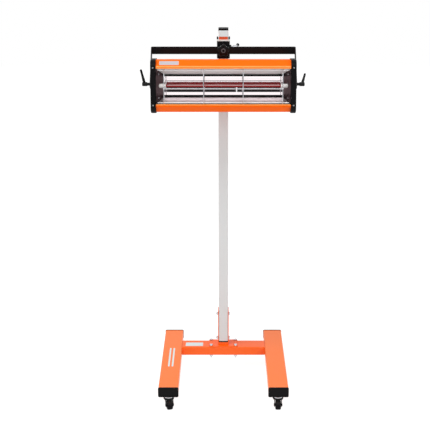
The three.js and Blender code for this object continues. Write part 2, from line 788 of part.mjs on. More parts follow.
function backReflector() {
  const x = trough.backX - 0.5;
  const y = trough.back;
  const outline = folded([
    [y + backPanelLeanBottom, -backPanelHalf], [y, backPanelFold], [y, backPanelBend],
    [y - backPanelLeanTop, backPanelHalf]], reflectorWall);
  const panel = alongX(outline, -x, x);
  const underTube = tubeRise - tubeDiameter / 2 - seat;
  const far = tubeSupportOffset + tubeSupportWall;
  const foot = underTube - tubeSupportHeight;
  const support = block(tubeSupportOffset, far, -tubeForward - 5, y + reflectorWall / 2, foot, underTube);
  return join(panel, support);
}

function endReflector() {
  const { front, back, frontX, backX } = trough;
  const edge = 0.8;
  const frontZ = reflectorFrontHalf - edge;
  const backZ = reflectorBackHalf - edge;
  const plate = sheet([
    [frontX, front, -frontZ], [backX, back, -backZ],
    [backX, back, backZ], [frontX, front, frontZ]], reflectorWall);
  const hole = towardX(rod(ceramicDiameter / 2 + 0.6, backX - 1, capInner));
  return cut(plate, hole.translate(0, -tubeForward, tubeRise));
}

function infraredTube() {
  return towardX(rod(tubeDiameter / 2, -tubeHalf, tubeHalf, 20)).translate(0, -tubeForward, tubeRise);
}

function tubeEnd() {
  const radius = ceramicDiameter / 2;
  const body = turned([
    [0, 0], [radius - 1, 0], [radius, 1.5], [radius, ceramicLength - 9], [ceramicNeck, ceramicLength - 9],
    [ceramicNeck, ceramicLength], [0, ceramicLength]]);
  return towardX(body).translate(tubeHalf + seat, -tubeForward, tubeRise);
}

function tubeClip() {
  const ceramicEnd = tubeHalf + seat + ceramicLength;
  const half = ceramicNeck;
  const collar = towardX(ring(ceramicNeck + 2, ceramicNeck + slip, ceramicEnd - 7, ceramicEnd + 1, 16));
  const post = block(ceramicEnd + seat, capInner + capPocket - seat, -half, half, -half, half);
  return join(collar, post).translate(0, -tubeForward, tubeRise);
}

// Guard: upright wires hooked behind the housing lips, with one level wire welded across their front
function guardWires() {
  const hook = -(headFront - sheetWall - seat - guardWireRadius);
  const bow = -headFront - guardBow;
  const half = [
    [hook, lipHalfHeight - 3], [hook, openingHalfHeight - 0.5], [hook - 6, openingHalfHeight - 9],
    [bow + 3, guardStandHalf + 6], [bow, guardStandHalf - 4], [bow, guardStandHalf / 3]];
  const points = [...half, ...half.map(([y, z]) => [y, -z]).reverse()];
  const path = new THREE.CatmullRomCurve3(points.map(([y, z]) => new THREE.Vector3(0, y, z)));
  const section = circle(guardWireRadius);
  const wires = [-1.5, -0.5, 0.5, 1.5].map((i) => {
    const wire = new THREE.ExtrudeGeometry(section, { steps: 24, curveSegments: 3, extrudePath: path });
    return wire.translate(i * guardSpacing, 0, 0);
  });
  const reach = guardEnd + 2 * guardWireRadius;
  const level = towardX(rod(guardWireRadius, -reach, reach, 6));
  level.translate(0, bow - 1.6 * guardWireRadius, -guardLevelDrop);
  return join(...wires, level);
}

// Rear fittings
function switchBody() {
  const face = headBack + seat;
  const x = switchCutWidth / 2 - slip;
  const z = switchCutHeight / 2 - slip;
  const halfWidth = switchWidth / 2;
  const halfHeight = switchHeight / 2;
  const bezel = block(-halfWidth, halfWidth, face, face + switchBezel, -halfHeight, halfHeight);
  const body = block(-x, x, face - 16, face + 1, -z, z);
  const pocket = block(-x + 1.2, x - 1.2, face - 10, face + switchBezel + 1, -z + 1.2, z - 1.2);
  return cut(join(bezel, body), pocket).translate(switchX, 0, 0);
}

function switchRocker() {
  const half = switchCutHeight / 2 - slip - 1.2 - seat;
  const profile = shapeOf([
    [-rockerHalf, -5], [rockerHalf, -5], [rockerHalf, rockerProud - 1], [0, rockerProud - 2.5],
    [-rockerHalf, rockerProud - 1]]);
  return alongZ(profile, -half, half);
}

function placedRocker() {
  const group = new THREE.Group();
  group.position.set(switchX, headBack, 0);
  group.rotation.z = rad(rockerTilt);
  group.add(piece('switch_rocker', switchRocker(), 'black'));
  return group;
}

function cableGland() {
  const outside = headBack + seat;
  const inside = headBack - sheetWall - seat;
  const end = outside + glandLength;
  const bore = glandRadius - 4;
  const profile = [
    [bore, inside - 8], [glandRadius, inside - 8], [glandRadius, inside - 4], [glandNutRadius, inside - 4],
    [glandNutRadius, inside], [glandRadius, inside], [glandRadius, outside], [glandNutRadius, outside],
    [glandNutRadius, outside + 6], [glandNutRadius - 1.5, outside + 7], [glandNutRadius - 1.5, end - 6],
    [glandRadius - 1, end], [bore, end], [bore, inside - 8]];
  return towardY(turned(profile)).translate(glandX, 0, 0);
}

function terminalBlock() {
  const back = headBack - sheetWall - seat;
  const front = back - terminalDepth;
  const half = terminalWidth / 2;
  const body = block(-half, half, front, back, -terminalHeight / 2, terminalHeight / 2);
  const wells = [-1, 0, 1].map((i) => (
    towardY(rod(2.5, front - 1, front + 4, 10)).translate(i * terminalWidth / 3.4, 0, 0)));
  return cut(body, ...wells).translate(terminalX, 0, 0);
}

// Assembly
function mirrored(mesh) {
  mesh.scale.x = -1;
  return mesh;
}

function baseGroup() {
  const group = new THREE.Group();
  const sides = [[-1, 'left'], [1, 'right']];
  const ends = [[-1, 'front'], [1, 'rear']];
  for (const [side, sideName] of sides) {
    group.add(piece(`leg_tube_${sideName}`, legTube(side), 'orange'));
    for (const [end, endName] of ends) {
      group.add(piece(`leg_plug_${endName}_${sideName}`, legPlug(side, end), 'black'));
    }
  }
  group.add(piece('cross_tube', crossTube(), 'orange'), piece('mast_socket', mastSocket(), 'orange'));
  socketBolts.forEach((place, i) => group.add(piece(`socket_bolt_${i + 1}`, socketBolt(place), 'zinc')));
  group.add(
    piece('mast_cross_bolt_lower', mastCrossBolt(crossBolts[0]), 'zinc'),
    piece('mast_cross_bolt_upper', mastCrossBolt(crossBolts[1]), 'zinc'),
    piece('mast_tube', mastTube(), 'mast'),
    piece('mast_top_cap', mastTopCap(), 'black'));
  for (const place of casterPlaces) {
    const stem = casterStem().translate(place.side * legX, place.y, 0);
    group.add(piece(`caster_stem_${place.name}`, stem, 'zinc'), placedCaster(place));
  }
  return group;
}

function carriageGroup() {
  const group = new THREE.Group();
  group.add(
    piece('carriage_sleeve', carriageSleeve(), 'powder'),
    piece('carriage_glide_upper', upperGlide(), 'nylon'),
    piece('carriage_glide_lower', lowerGlide(), 'black'),
    piece('yoke_pivot_stud', yokePivotStud(), 'zinc'),
    piece('friction_washer', frictionWasher(), 'nylon'),
    piece('yoke', yoke(), 'powder'),
    piece('star_knob', starKnob(), 'black'),
    heightClamp());
  return group;
}

function headGroup() {
  const group = new THREE.Group();
  group.position.set(0, 0, -headDrop);
  group.add(
    piece('upper_housing', upperHousing(), 'orange'),
    piece('lower_housing', lowerHousing(), 'orange'),
    piece('rear_cover', rearCover(), 'orange'),
    piece('reflector_upper', sideReflector(), 'mirror'),
    piece('reflector_lower', lowerReflector(), 'mirror'),
    piece('reflector_back', backReflector(), 'mirror'),
    piece('infrared_tube', infraredTube(), 'quartz'),
    piece('guard_grid', guardWires(), 'zinc'),
    piece('switch_body', switchBody(), 'black'),
    placedRocker(),
    piece('cable_gland', cableGland(), 'black'),
    piece('terminal_block', terminalBlock(), 'ceramic'));
  const paired = {
    end_cap: [endCap, 'black'],
    reflector_end: [endReflector, 'mirror'],
    tube_end: [tubeEnd, 'ceramic'],
    tube_clip: [tubeClip, 'zinc'],
    tilt_stud: [tiltStud, 'zinc'],
  };
  for (const [name, [make, finish]] of Object.entries(paired)) {
    group.add(piece(`${name}_right`, make(), finish), mirrored(piece(`${name}_left`, make(), finish)));
  }
  const tilted = new THREE.Group();
  tilted.position.set(0, tiltY, tiltZ);
  tilted.rotation.x = -rad(headRestTilt);
  tilted.add(group);
  return tilted;
}

function leverGroup() {
  const group = new THREE.Group();
  group.position.set(0, tiltY, tiltZ);
  group.add(placedLever('tilt_lever_left', -1, 0), placedLever('tilt_lever_right', 1, rightLeverTurn));
  return group;
}

const lamp = new THREE.Group();
lamp.add(baseGroup(), carriageGroup(), headGroup(), leverGroup());

export default lamp;
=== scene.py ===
"""Looks of an infrared curing lamp on a rolling stand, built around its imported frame.

Lengths are in metres. Sizes written in millimetres are turned into metres by MM.
"""

import json
import logging
import math
from contextlib import contextmanager
from dataclasses import dataclass, field
from enum import Enum
from typing import Callable, Iterator, Sequence

import bmesh
import bpy
from mathutils import Matrix, Vector

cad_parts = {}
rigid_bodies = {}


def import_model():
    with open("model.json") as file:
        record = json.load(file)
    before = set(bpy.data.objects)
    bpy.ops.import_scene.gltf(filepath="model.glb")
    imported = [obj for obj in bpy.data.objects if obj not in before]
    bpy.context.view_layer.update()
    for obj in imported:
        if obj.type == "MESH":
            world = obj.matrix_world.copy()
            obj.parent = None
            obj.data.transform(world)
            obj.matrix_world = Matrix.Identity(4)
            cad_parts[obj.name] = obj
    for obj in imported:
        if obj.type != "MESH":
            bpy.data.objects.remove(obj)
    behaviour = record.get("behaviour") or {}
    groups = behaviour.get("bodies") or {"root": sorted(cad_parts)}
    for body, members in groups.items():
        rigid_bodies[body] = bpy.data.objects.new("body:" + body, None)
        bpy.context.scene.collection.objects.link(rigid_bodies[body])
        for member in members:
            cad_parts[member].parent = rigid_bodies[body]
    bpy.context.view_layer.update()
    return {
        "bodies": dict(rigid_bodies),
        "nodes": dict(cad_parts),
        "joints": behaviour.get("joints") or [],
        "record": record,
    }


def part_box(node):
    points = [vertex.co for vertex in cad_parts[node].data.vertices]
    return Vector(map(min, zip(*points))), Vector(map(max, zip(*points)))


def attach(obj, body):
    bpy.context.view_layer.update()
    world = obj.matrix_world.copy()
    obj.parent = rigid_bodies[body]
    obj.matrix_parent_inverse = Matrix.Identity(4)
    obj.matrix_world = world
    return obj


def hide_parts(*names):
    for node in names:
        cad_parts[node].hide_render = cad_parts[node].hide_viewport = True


log = logging.getLogger("curing_lamp")

MM = 0.001
IMAGE_SIZE = 430
FOCAL_PIXELS = 1040
SENSOR_WIDTH = 36.0
SIDES = ((-1, "left"), (1, "right"))
LEVELS = ((-1, "lower"), (1, "upper"))

# Vertices nearer than MERGE are one, and faces that meet flatter than FLAT are one. A direction
# whose share along an axis is over STRAIGHT runs along it, and places within NEAR are the same.
# Pieces that are united reach into each other by OVERLAP.
MERGE = 0.002 * MM
FLAT = math.radians(0.6)
STRAIGHT = 0.99
NEAR = 0.01 * MM
OVERLAP = 1 * MM

# A screw head's height below its dome and the angles of the dome's steps, then the radius and the
# floor of its recess as shares of the head's.
DOME_FOOT = 0.35
DOME_STEPS = (0.0, 0.35, 0.7, 1.0)
RECESS_SHARES = (0.36, 0.45)

# Fine relief against coarse relief, and the roughness of drawn marks against its drift.
FINE_RATIO = 3.5
MARKS_RATIO = 1.5

Colour = tuple[float, float, float]
Profile = Sequence[tuple[float, float]]
Test = Callable[[Vector, Vector], bool]


class Slot(Enum):
    """The record's material slots."""

    ORANGE = "orange_paint"
    POWDER = "black_powder_coat"
    PLASTIC = "black_plastic"
    TREAD = "caster_tread"
    MAST = "mast_paint"
    ZINC = "zinc_steel"
    REFLECTOR = "reflector"
    RUBY = "ruby_glass"
    CERAMIC = "ceramic"
    NYLON = "nylon"


class Axis(Enum):
    """A direction that a piece runs along or turns about."""

    X = "X"
    Y = "Y"
    Z = "Z"


def linear(red: int, green: int, blue: int) -> Colour:
    """Turns a display colour of 0 to 255 into the linear values that shaders use.

    Args:
        red: Display red.
        green: Display green.
        blue: Display blue.

    Returns:
        The three linear values.
    """
    shares = [value / 255 for value in (red, green, blue)]
    return tuple(s / 12.92 if s <= 0.04045 else ((s + 0.055) / 1.055) ** 2.4 for s in shares)


# Shader groups


MID_GREY = (0.5, 0.5, 0.5)
DUST = (0.6, 0.57, 0.53)


class GroupMaker:
    """Builds one shader node group with named sockets.

    Args:
        name: The group's name.
        inputs: Socket name to its default: a float, or None for a vector, or a colour.
        outputs: Socket name to its socket type.
    """

    def __init__(self, name: str, inputs: dict[str, object], outputs: dict[str, str]) -> None:
        """Makes the empty group and its sockets."""
        self.tree = bpy.data.node_groups.new(name, "ShaderNodeTree")
        face = self.tree.interface
        for label, value in inputs.items():
            kind = "NodeSocketFloat"
            if value is None:
                kind = "NodeSocketVector"
            elif isinstance(value, tuple):
                kind = "NodeSocketColor"
            socket = face.new_socket(label, in_out="INPUT", socket_type=kind)
            if value is not None:
                socket.default_value = (*value, 1.0) if isinstance(value, tuple) else value
        for label, kind in outputs.items():
            face.new_socket(label, in_out="OUTPUT", socket_type=kind)
        self.entry = self.tree.nodes.new("NodeGroupInput")
        self.exit = self.tree.nodes.new("NodeGroupOutput")

    def node(
        self, kind: str, links: dict[str, object] | None = None, **settings: object
    ) -> bpy.types.Node:
        """Adds a node.

        Args:
            kind: The node's type.
            links: Input name to a socket to link from, or to a plain value.
            settings: Properties of the node.

        Returns:
            The node.
        """
        return add_node(self.tree, kind, links, **settings)

    def reckon(self, operation: str, *values: object) -> bpy.types.NodeSocket:
        """Adds a node that reckons with sockets or plain values.

        Args:
            operation: What it does.
            values: What it does it with, in the order of its inputs.

        Returns:
            The result.
        """
        return reckoned(self.tree, operation, *values)

    def give(self, label: str, source: bpy.types.NodeSocket) -> None:
        """Sends a socket to one of the group's outputs."""
        self.tree.links.new(source, self.exit.inputs[label])


def add_node(
    tree: bpy.types.NodeTree, kind: str, links: dict[str, object] | None = None, **settings: object
) -> bpy.types.Node:
    """Adds a node to a tree, sets it up and wires its inputs.

    Args:
        tree: The node tree.
        kind: The node's type.
        links: Input name or number to a socket, or to a plain value.
        settings: Properties of the node.

    Returns:
        The node.
    """
    made = tree.nodes.new(kind)
    for key, value in settings.items():
        setattr(made, key, value)
    for key, value in (links or {}).items():
        if isinstance(value, bpy.types.NodeSocket):
            tree.links.new(value, made.inputs[key])
        else:
            made.inputs[key].default_value = value
    return made


def reckoned(tree: bpy.types.NodeTree, operation: str, *values: object) -> bpy.types.NodeSocket:
    """Adds a math node to a tree.

    Args:
        tree: The node tree.
        operation: What it does.
        values: Sockets or plain values, in the order of its inputs.

    Returns:
        The result.
    """
    links = dict(enumerate(values))
    return add_node(tree, "ShaderNodeMath", links, operation=operation).outputs[0]


def noise_in(
    maker: GroupMaker, scale: object, detail: float, vector: object
) -> bpy.types.NodeSocket:
    """Adds a noise texture to a group.

    Args:
        maker: The group.
        scale: The noise scale, a socket or a number.
        detail: The noise detail.
        vector: The coordinates.

    Returns:
        The noise value.
    """
    links = {"Vector": vector, "Scale": scale, "Detail": detail, "Roughness": 0.55}
    return maker.node("ShaderNodeTexNoise", links).outputs["Fac"]


def mottle_group() -> bpy.types.NodeTree:
    """Slow changes of brightness over a painted or moulded surface, and of its roughness."""
    group = GroupMaker(
        "surface_mottle",
        {
            "Vector": None, "Colour": MID_GREY, "Shade": 0.1, "Roughness": 0.4, "Spread": 0.1,
            "Scale": 9.0,
        },
        {"Colour": "NodeSocketColor", "Roughness": "NodeSocketFloat"},
    )
    entry = group.entry.outputs
    slow = noise_in(group, entry["Scale"], 4.0, entry["Vector"])
    centred = group.reckon("SUBTRACT", slow, 0.5)
    shade = group.reckon("MULTIPLY_ADD", centred, entry["Shade"], 1.0)
    links = {0: entry["Colour"], "Scale": shade}
    scaled = group.node("ShaderNodeVectorMath", links, operation="SCALE")
    group.give("Colour", scaled.outputs["Vector"])
    rough = group.reckon("MULTIPLY_ADD", centred, entry["Spread"], entry["Roughness"])
    group.give("Roughness", rough)
    return group.tree


def relief_group() -> bpy.types.NodeTree:
    """Fine relief: orange peel on paint or the spark-eroded grain of a moulding."""
    group = GroupMaker(
        "fine_relief",
        {"Vector": None, "Coarse scale": 300.0, "Fine scale": 1200.0, "Fine share": 0.4},
        {"Height": "NodeSocketFloat"},
    )
    entry = group.entry.outputs
    coarse = noise_in(group, entry["Coarse scale"], 1.0, entry["Vector"])
    fine = noise_in(group, entry["Fine scale"], 2.0, entry["Vector"])
    group.give("Height", group.reckon("MULTIPLY_ADD", fine, entry["Fine share"], coarse))
    return group.tree


def brush_group() -> bpy.types.NodeTree:
    """Drawn or rolled marks: noise stretched along one direction."""
    group = GroupMaker(
        "drawn_marks",
        {"Vector": None, "Stretch": None, "Scale": 60.0},
        {"Mask": "NodeSocketFloat"},
    )
    entry = group.entry.outputs
    links = {0: entry["Vector"], 1: entry["Stretch"]}
    stretched = group.node("ShaderNodeVectorMath", links, operation="MULTIPLY")
    group.give("Mask", noise_in(group, entry["Scale"], 3.0, stretched.outputs["Vector"]))
    return group.tree


def settle_group() -> bpy.types.NodeTree:
    """Workshop dust that lies on faces that look up, thinned by a slow noise."""
    group = GroupMaker(
        "settled_dust",
        {"Vector": None, "Colour": MID_GREY, "Dust colour": DUST, "Amount": 0.05},
        {"Colour": "NodeSocketColor"},
    )
    entry = group.entry.outputs
    normal = group.node("ShaderNodeNewGeometry").outputs["Normal"]
    up = group.node("ShaderNodeSeparateXYZ", {"Vector": normal}).outputs["Z"]
    links = {"Value": up, "From Min": 0.3, "From Max": 1.0}
    facing = group.node("ShaderNodeMapRange", links).outputs["Result"]
    cloud = noise_in(group, 14.0, 5.0, entry["Vector"])
    amount = group.reckon("MULTIPLY", group.reckon("MULTIPLY", facing, cloud), entry["Amount"])
    mixed = group.node("ShaderNodeMix", data_type="RGBA")
    group.tree.links.new(amount, mixed.inputs["Factor"])
    group.tree.links.new(entry["Colour"], mixed.inputs[6])
    group.tree.links.new(entry["Dust colour"], mixed.inputs[7])
    group.give("Colour", mixed.outputs[2])
    return group.tree


class Effects:
    """The shader groups, each built once and shared by all the finishes."""

    def __init__(self) -> None:
        """Builds the groups."""
        self.mottle = mottle_group()
        self.relief = relief_group()
        self.brush = brush_group()
        self.dust = settle_group()


@dataclass(frozen=True)
class Finish:
    """A finish of the lamp: its colour, gloss, relief and marks.

    Attributes:
        name: The material's name.
        slot: The record's slot; not used.
        colour: Linear base colour.
        roughness: Middle roughness.
        metallic: Share of metal.
        gloss: Specular level of the surface.
        shade: How much the brightness drifts.
        spread: How much the roughness drifts.
        relief: Height of the fine relief, in metres.
        relief_scale: Scale of the relief's coarse noise.
        stretch: Direction factors of drawn marks, or None.
        dust: How much dust lies on faces that look up.
    """

    name: str
    slot: Slot
    colour: Colour
    roughness: float = 0.4
    metallic: float = 0.0
    gloss: float = 0.2
    shade: float = 0.12
    spread: float = 0.12
    relief: float = 0.00002
    relief_scale: float = 420.0
    stretch: tuple[float, float, float] | None = None
    dust: float = 0.0

    def build(self, effects: Effects) -> bpy.types.Material:
        """Makes the material.

        Args:
            effects: The shared shader groups.

        Returns:
            The material.
        """
        material = bpy.data.materials.new(self.name)
        material.use_nodes = True
        tree = material.node_tree
        shader = tree.nodes["Principled BSDF"]
        shader.inputs["Metallic"].default_value = self.metallic
        shader.inputs["Specular IOR Level"].default_value = self.gloss
        place = add_node(tree, "ShaderNodeTexCoord").outputs["Object"]
        mottle = add_node(tree, "ShaderNodeGroup", node_tree=effects.mottle)
        tree.links.new(place, mottle.inputs["Vector"])
        mottle.inputs["Colour"].default_value = (*self.colour, 1.0)
        mottle.inputs["Shade"].default_value = self.shade
        mottle.inputs["Roughness"].default_value = self.roughness
        mottle.inputs["Spread"].default_value = self.spread
        colour = mottle.outputs["Colour"]
        roughness = mottle.outputs["Roughness"]
        if self.stretch:
            brush = add_node(tree, "ShaderNodeGroup", {"Vector": place}, node_tree=effects.brush)
            brush.inputs["Stretch"].default_value = self.stretch
            marks, drift = brush.outputs["Mask"], self.spread * MARKS_RATIO
            roughness = reckoned(tree, "MULTIPLY_ADD", marks, drift, roughness)
        if self.dust:
            links = {"Vector": place, "Colour": colour}
            dust = add_node(tree, "ShaderNodeGroup", links, node_tree=effects.dust)
            dust.inputs["Amount"].default_value = self.dust
            colour = dust.outputs["Colour"]
        relief = add_node(tree, "ShaderNodeGroup", {"Vector": place}, node_tree=effects.relief)
        relief.inputs["Coarse scale"].default_value = self.relief_scale
        relief.inputs["Fine scale"].default_value = self.relief_scale * FINE_RATIO
        links = {"Height": relief.outputs["Height"], "Distance": self.relief}
        bump = add_node(tree, "ShaderNodeBump", links)
        tree.links.new(colour, shader.inputs["Base Color"])
        tree.links.new(roughness, shader.inputs["Roughness"])
        tree.links.new(bump.outputs["Normal"], shader.inputs["Normal"])
        return material


ORANGE = Finish(
    "orange_head_paint", Slot.ORANGE, linear(255, 104, 8), 0.3, gloss=0.04, shade=0.04, dust=0.002
)
# A paler, glossier orange for the rolled folds and lips of the head's front: a painted highlight
# along them.
PAINTED_HIGHLIGHT_FOLD = Finish("painted_highlight_orange_fold", Slot.ORANGE, linear(255, 150, 62), 0.25, gloss=0.5, shade=0.08)
ORANGE_BASE = Finish(
    "orange_base_paint", Slot.ORANGE, linear(255, 102, 8), 0.32, gloss=0.42, shade=0.04, dust=0.002
)
# The legs' orange is a lighter copy of the cross tube's paint: painted light that makes their tops
# pale.
LIT_ORANGE_LEG = Finish(
    "orange_leg_painted_light", Slot.ORANGE, linear(255, 117, 13), 0.32, gloss=0.5, shade=0.04, dust=0.002
)
POWDER = Finish(
    "black_powder_coat", Slot.POWDER, linear(9, 9, 11), 0.34, gloss=0.16, shade=0.4, relief=0.00005,
    relief_scale=900, dust=0.01
)
PLASTIC = Finish(
    "black_moulded_plastic", Slot.PLASTIC, linear(6, 5, 7), 0.4, gloss=0.12, shade=0.4,
    relief=0.00004
)
GLOSS_PLASTIC = Finish(
    "black_lever_plastic", Slot.PLASTIC, linear(5, 5, 6), 0.26, gloss=0.22, shade=0.4,
    relief=0.00001
)
# Grey for the ring on the black star knob: a painted highlight.
PAINTED_HIGHLIGHT_PLASTIC = Finish("painted_highlight_knob_rim", Slot.PLASTIC, linear(74, 78, 82), 0.3, gloss=0.5, shade=0.4)
TREAD = Finish(
    "caster_rubber", Slot.TREAD, linear(16, 13, 17), 0.7, gloss=0.1, shade=0.5, relief=0.00008,
    dust=0.08
)
MAST = Finish(
    "mast_grey_paint", Slot.MAST, linear(217, 218, 218), 0.36, metallic=0.1, shade=0.03,
    stretch=(30, 30, 0.6)
)
ZINC = Finish("bright_zinc_plate", Slot.ZINC, linear(205, 206, 210), 0.26, metallic=1.0, shade=0.25)
NICKEL = Finish(
    "dull_nickel_plate", Slot.ZINC, linear(242, 242, 244), 0.5, metallic=0.4, shade=0.05
)
DULL_SCREW = Finish(
    "dull_screw_plate", Slot.ZINC, linear(150, 150, 152), 0.5, metallic=0.6, shade=0.05
)
MIRROR = Finish(
    "polished_reflector_sheet", Slot.REFLECTOR, linear(250, 241, 243), 0.05, metallic=1.0,
    shade=0.05, spread=0.03, relief=0.000001, relief_scale=30, stretch=(0.5, 20, 20)
)
# The upper and lower reflector sheets are one satin metal in a lighter and a darker copy: painted
# light on the upper sheet and painted shade on the lower.
SATIN = Finish(
    "satin_reflector_sheet", Slot.REFLECTOR, linear(250, 246, 246), 0.6, metallic=0.6, gloss=0.5,
    shade=0.03, spread=0.06, relief=0.000002, relief_scale=40, stretch=(0.5, 20, 20)
)
SHADED_SATIN = Finish(
    "painted_shade_reflector_sheet", Slot.REFLECTOR, linear(198, 190, 192), 0.32, metallic=0.88, gloss=0.5,
    shade=0.05, spread=0.06, relief=0.000002, relief_scale=40, stretch=(0.5, 20, 20)
)
# Dark brown, strongly mottled metal for the end reflectors and the back sheet's crease: painted
# dark reflections of polished sheets.
PAINTED_REFLECTION_METAL = Finish(
    "painted_reflection_end_sheet", Slot.REFLECTOR, linear(88, 72, 75), 0.12, metallic=1.0, shade=0.85,
    spread=0.3, relief=0.00002, relief_scale=60, stretch=(20, 20, 1)
)
RUBY = Finish(
    "ruby_quartz", Slot.RUBY, linear(134, 1, 7), 0.05, gloss=0.3, shade=0.2, relief=0.000001,
    stretch=(1, 30, 30)
)
CERAMIC = Finish("white_ceramic", Slot.CERAMIC, linear(236, 234, 232), 0.5, shade=0.06)
NYLON = Finish("natural_nylon", Slot.NYLON, linear(226, 225, 222), 0.45, shade=0.06)
PLATE = Finish(
    "blank_silver_plate", Slot.ZINC, linear(188, 182, 186), 0.35, metallic=0.3, shade=0.08
)
WHITE = Finish("plain_white_film", Slot.NYLON, linear(214, 228, 230), 0.4, shade=0.04)
BAND = Finish("plain_red_orange_film", Slot.ORANGE, linear(205, 82, 48), 0.4, shade=0.08)
# Near black for the inner faces of the housing's sheets: painted shade inside the housing.
PAINTED_SHADE_INSIDE = Finish("painted_shade_inside", Slot.POWDER, linear(9, 7, 8), 0.7, gloss=0.05, shade=0.3)


# Modelling


def deselect() -> None:
    """Deselects every object, so that an operator acts only on what comes next."""
    bpy.ops.object.select_all(action="DESELECT")


def select_only(piece: bpy.types.Object) -> None:
    """Deselects everything, then selects one object and makes it active."""
    deselect()
    piece.select_set(True)
    bpy.context.view_layer.objects.active = piece


def discard(piece: bpy.types.Object) -> None:
    """Deletes an object that was only a tool or a pattern."""
    select_only(piece)
    bpy.ops.object.delete()


def shift(x: float = 0, y: float = 0, z: float = 0) -> Matrix:
    """A move by three lengths."""
    return Matrix.Translation((x, y, z))


def turn(degrees: float, axis: Axis) -> Matrix:
    """A turn about an axis through the origin."""
    return Matrix.Rotation(math.radians(degrees), 4, axis.value)


def mirror(side: int) -> Matrix:
    """A flip from right to left for side -1, and nothing for side 1."""
    return Matrix.Diagonal((side, 1, 1, 1))


@contextmanager
def editing(piece: bpy.types.Object) -> Iterator[None]:
    """Edit mode on one object with nothing selected in it.

    Args:
        piece: The object.

    Yields:
        Nothing.
    """
    select_only(piece)
    bpy.ops.object.mode_set(mode="EDIT")
    bpy.ops.mesh.select_all(action="DESELECT")
    try:
        yield
    finally:
        bpy.ops.object.mode_set(mode="OBJECT")


def pick_faces(piece: bpy.types.Object, test: Test) -> None:
    """Selects the faces whose centre and normal pass a test, in edit mode."""
    bpy.ops.mesh.select_mode(type="FACE")
    bpy.ops.mesh.select_all(action="DESELECT")
    shape = bmesh.from_edit_mesh(piece.data)
    for face in shape.faces:
        face.select_set(test(face.calc_center_median(), face.normal))
    bmesh.update_edit_mesh(piece.data)


def pick_edges(piece: bpy.types.Object, test: Test) -> None:
    """Selects the edges whose middle and direction pass a test, in edit mode."""
    bpy.ops.mesh.select_mode(type="EDGE")
    bpy.ops.mesh.select_all(action="DESELECT")
    shape = bmesh.from_edit_mesh(piece.data)
    for edge in shape.edges:
        start, end = edge.verts[0].co, edge.verts[1].co
        edge.select_set(test((start + end) / 2, (end - start).normalized()))
    bmesh.update_edit_mesh(piece.data)


def extrude(offset: Sequence[float]) -> None:
    """Extrudes what is selected by an offset."""
    bpy.ops.mesh.extrude_region_move(TRANSFORM_OT_translate={"value": tuple(offset)})


def apply_modifier(piece: bpy.types.Object, kind: str, **settings: object) -> None:
    """Adds a modifier, sets it and applies it.

    Args:
        piece: The object.
        kind: The modifier's type.
        settings: The modifier's properties.
    """
    modifier = piece.modifiers.new(kind.lower(), kind)
    for key, value in settings.items():
        setattr(modifier, key, value)
    select_only(piece)
    bpy.ops.object.modifier_apply(modifier=modifier.name)


@dataclass(frozen=True)
class Edge:
    """How the sharp edges of a piece are rounded.

    Attributes:
        width: Width of the rounding.
        segments: Steps in the rounding.
        angle: Edges sharper than this, in degrees, are rounded.
    """

    width: float
    segments: int = 2
    angle: float = 32


CLIP_EDGE = Edge(0.3 * MM)
FINE_EDGE = Edge(0.4 * MM)
METAL_EDGE = Edge(0.5 * MM)
GLIDE_EDGE = Edge(0.6 * MM)
MOULDED_EDGE = Edge(0.8 * MM)
MAST_EDGE = Edge(0.5 * MM, 3, 20)
TUBE_EDGE = Edge(0.9 * MM, 3, 20)
YOKE_EDGE = Edge(0.7 * MM, 2, 40)
LUG_EDGE = Edge(1.2 * MM, 3)
SHELL_EDGE = Edge(0.4 * MM, 2, 60)
CAP_EDGE = Edge(0.6 * MM, 2, 50)
LEVER_EDGE = Edge(0.8 * MM, 3, 40)


def soften(piece: bpy.types.Object, edge: Edge) -> None:
    """Rounds the sharp edges of a piece."""
    apply_modifier(
        piece, "BEVEL", width=edge.width, segments=edge.segments, limit_method="ANGLE",
        angle_limit=math.radians(edge.angle),
    )


def settle(piece: bpy.types.Object) -> None:
    """Moves an object's place and turn into its mesh."""
    select_only(piece)
    bpy.ops.object.transform_apply(location=True, rotation=True, scale=True)


def outward(piece: bpy.types.Object) -> None:
    """Merges doubles and turns every face of a closed piece outwards."""
    with editing(piece):
        bpy.ops.mesh.select_all(action="SELECT")
        bpy.ops.mesh.remove_doubles(threshold=MERGE)
        bpy.ops.mesh.normals_make_consistent(inside=False)


def block(low: Sequence[float], high: Sequence[float]) -> bpy.types.Object:
    """A cuboid between two corners, to be shaped further.

    Args:
        low: Lowest corner, in metres.
        high: Highest corner.

    Returns:
        The object, its size in its mesh.
    """
    deselect()
    middle = [(a + b) / 2 for a, b in zip(low, high)]
    bpy.ops.mesh.primitive_cube_add(size=1, location=middle)
    piece = bpy.context.active_object
    piece.scale = [b - a for a, b in zip(low, high)]
    settle(piece)
    return piece


def turned(profile: Profile, sides: int = 40) -> bpy.types.Object:
    """A turned piece about Z: a disc that is extruded and resized from step to step.

    Args:
        profile: Radius and height of each step from one end to the other, in metres.
        sides: How many faces go round.

    Returns:
        The closed object, at the origin.
    """
    deselect()
    radius, height = profile[0]
    bpy.ops.mesh.primitive_circle_add(
        vertices=sides, radius=radius, fill_type="NGON", location=(0, 0, height)
    )
    piece = bpy.context.active_object
    settle(piece)
    with editing(piece):
        bpy.ops.mesh.select_all(action="SELECT")
        for next_radius, next_height in profile[1:]:
            extrude((0, 0, next_height - height))
            share = next_radius / radius
            bpy.ops.transform.resize(value=(share, share, 1), center_override=(0, 0, next_height))
            radius, height = next_radius, next_height
        bpy.ops.mesh.select_all(action="SELECT")
        bpy.ops.mesh.normals_make_consistent(inside=False)
    return piece


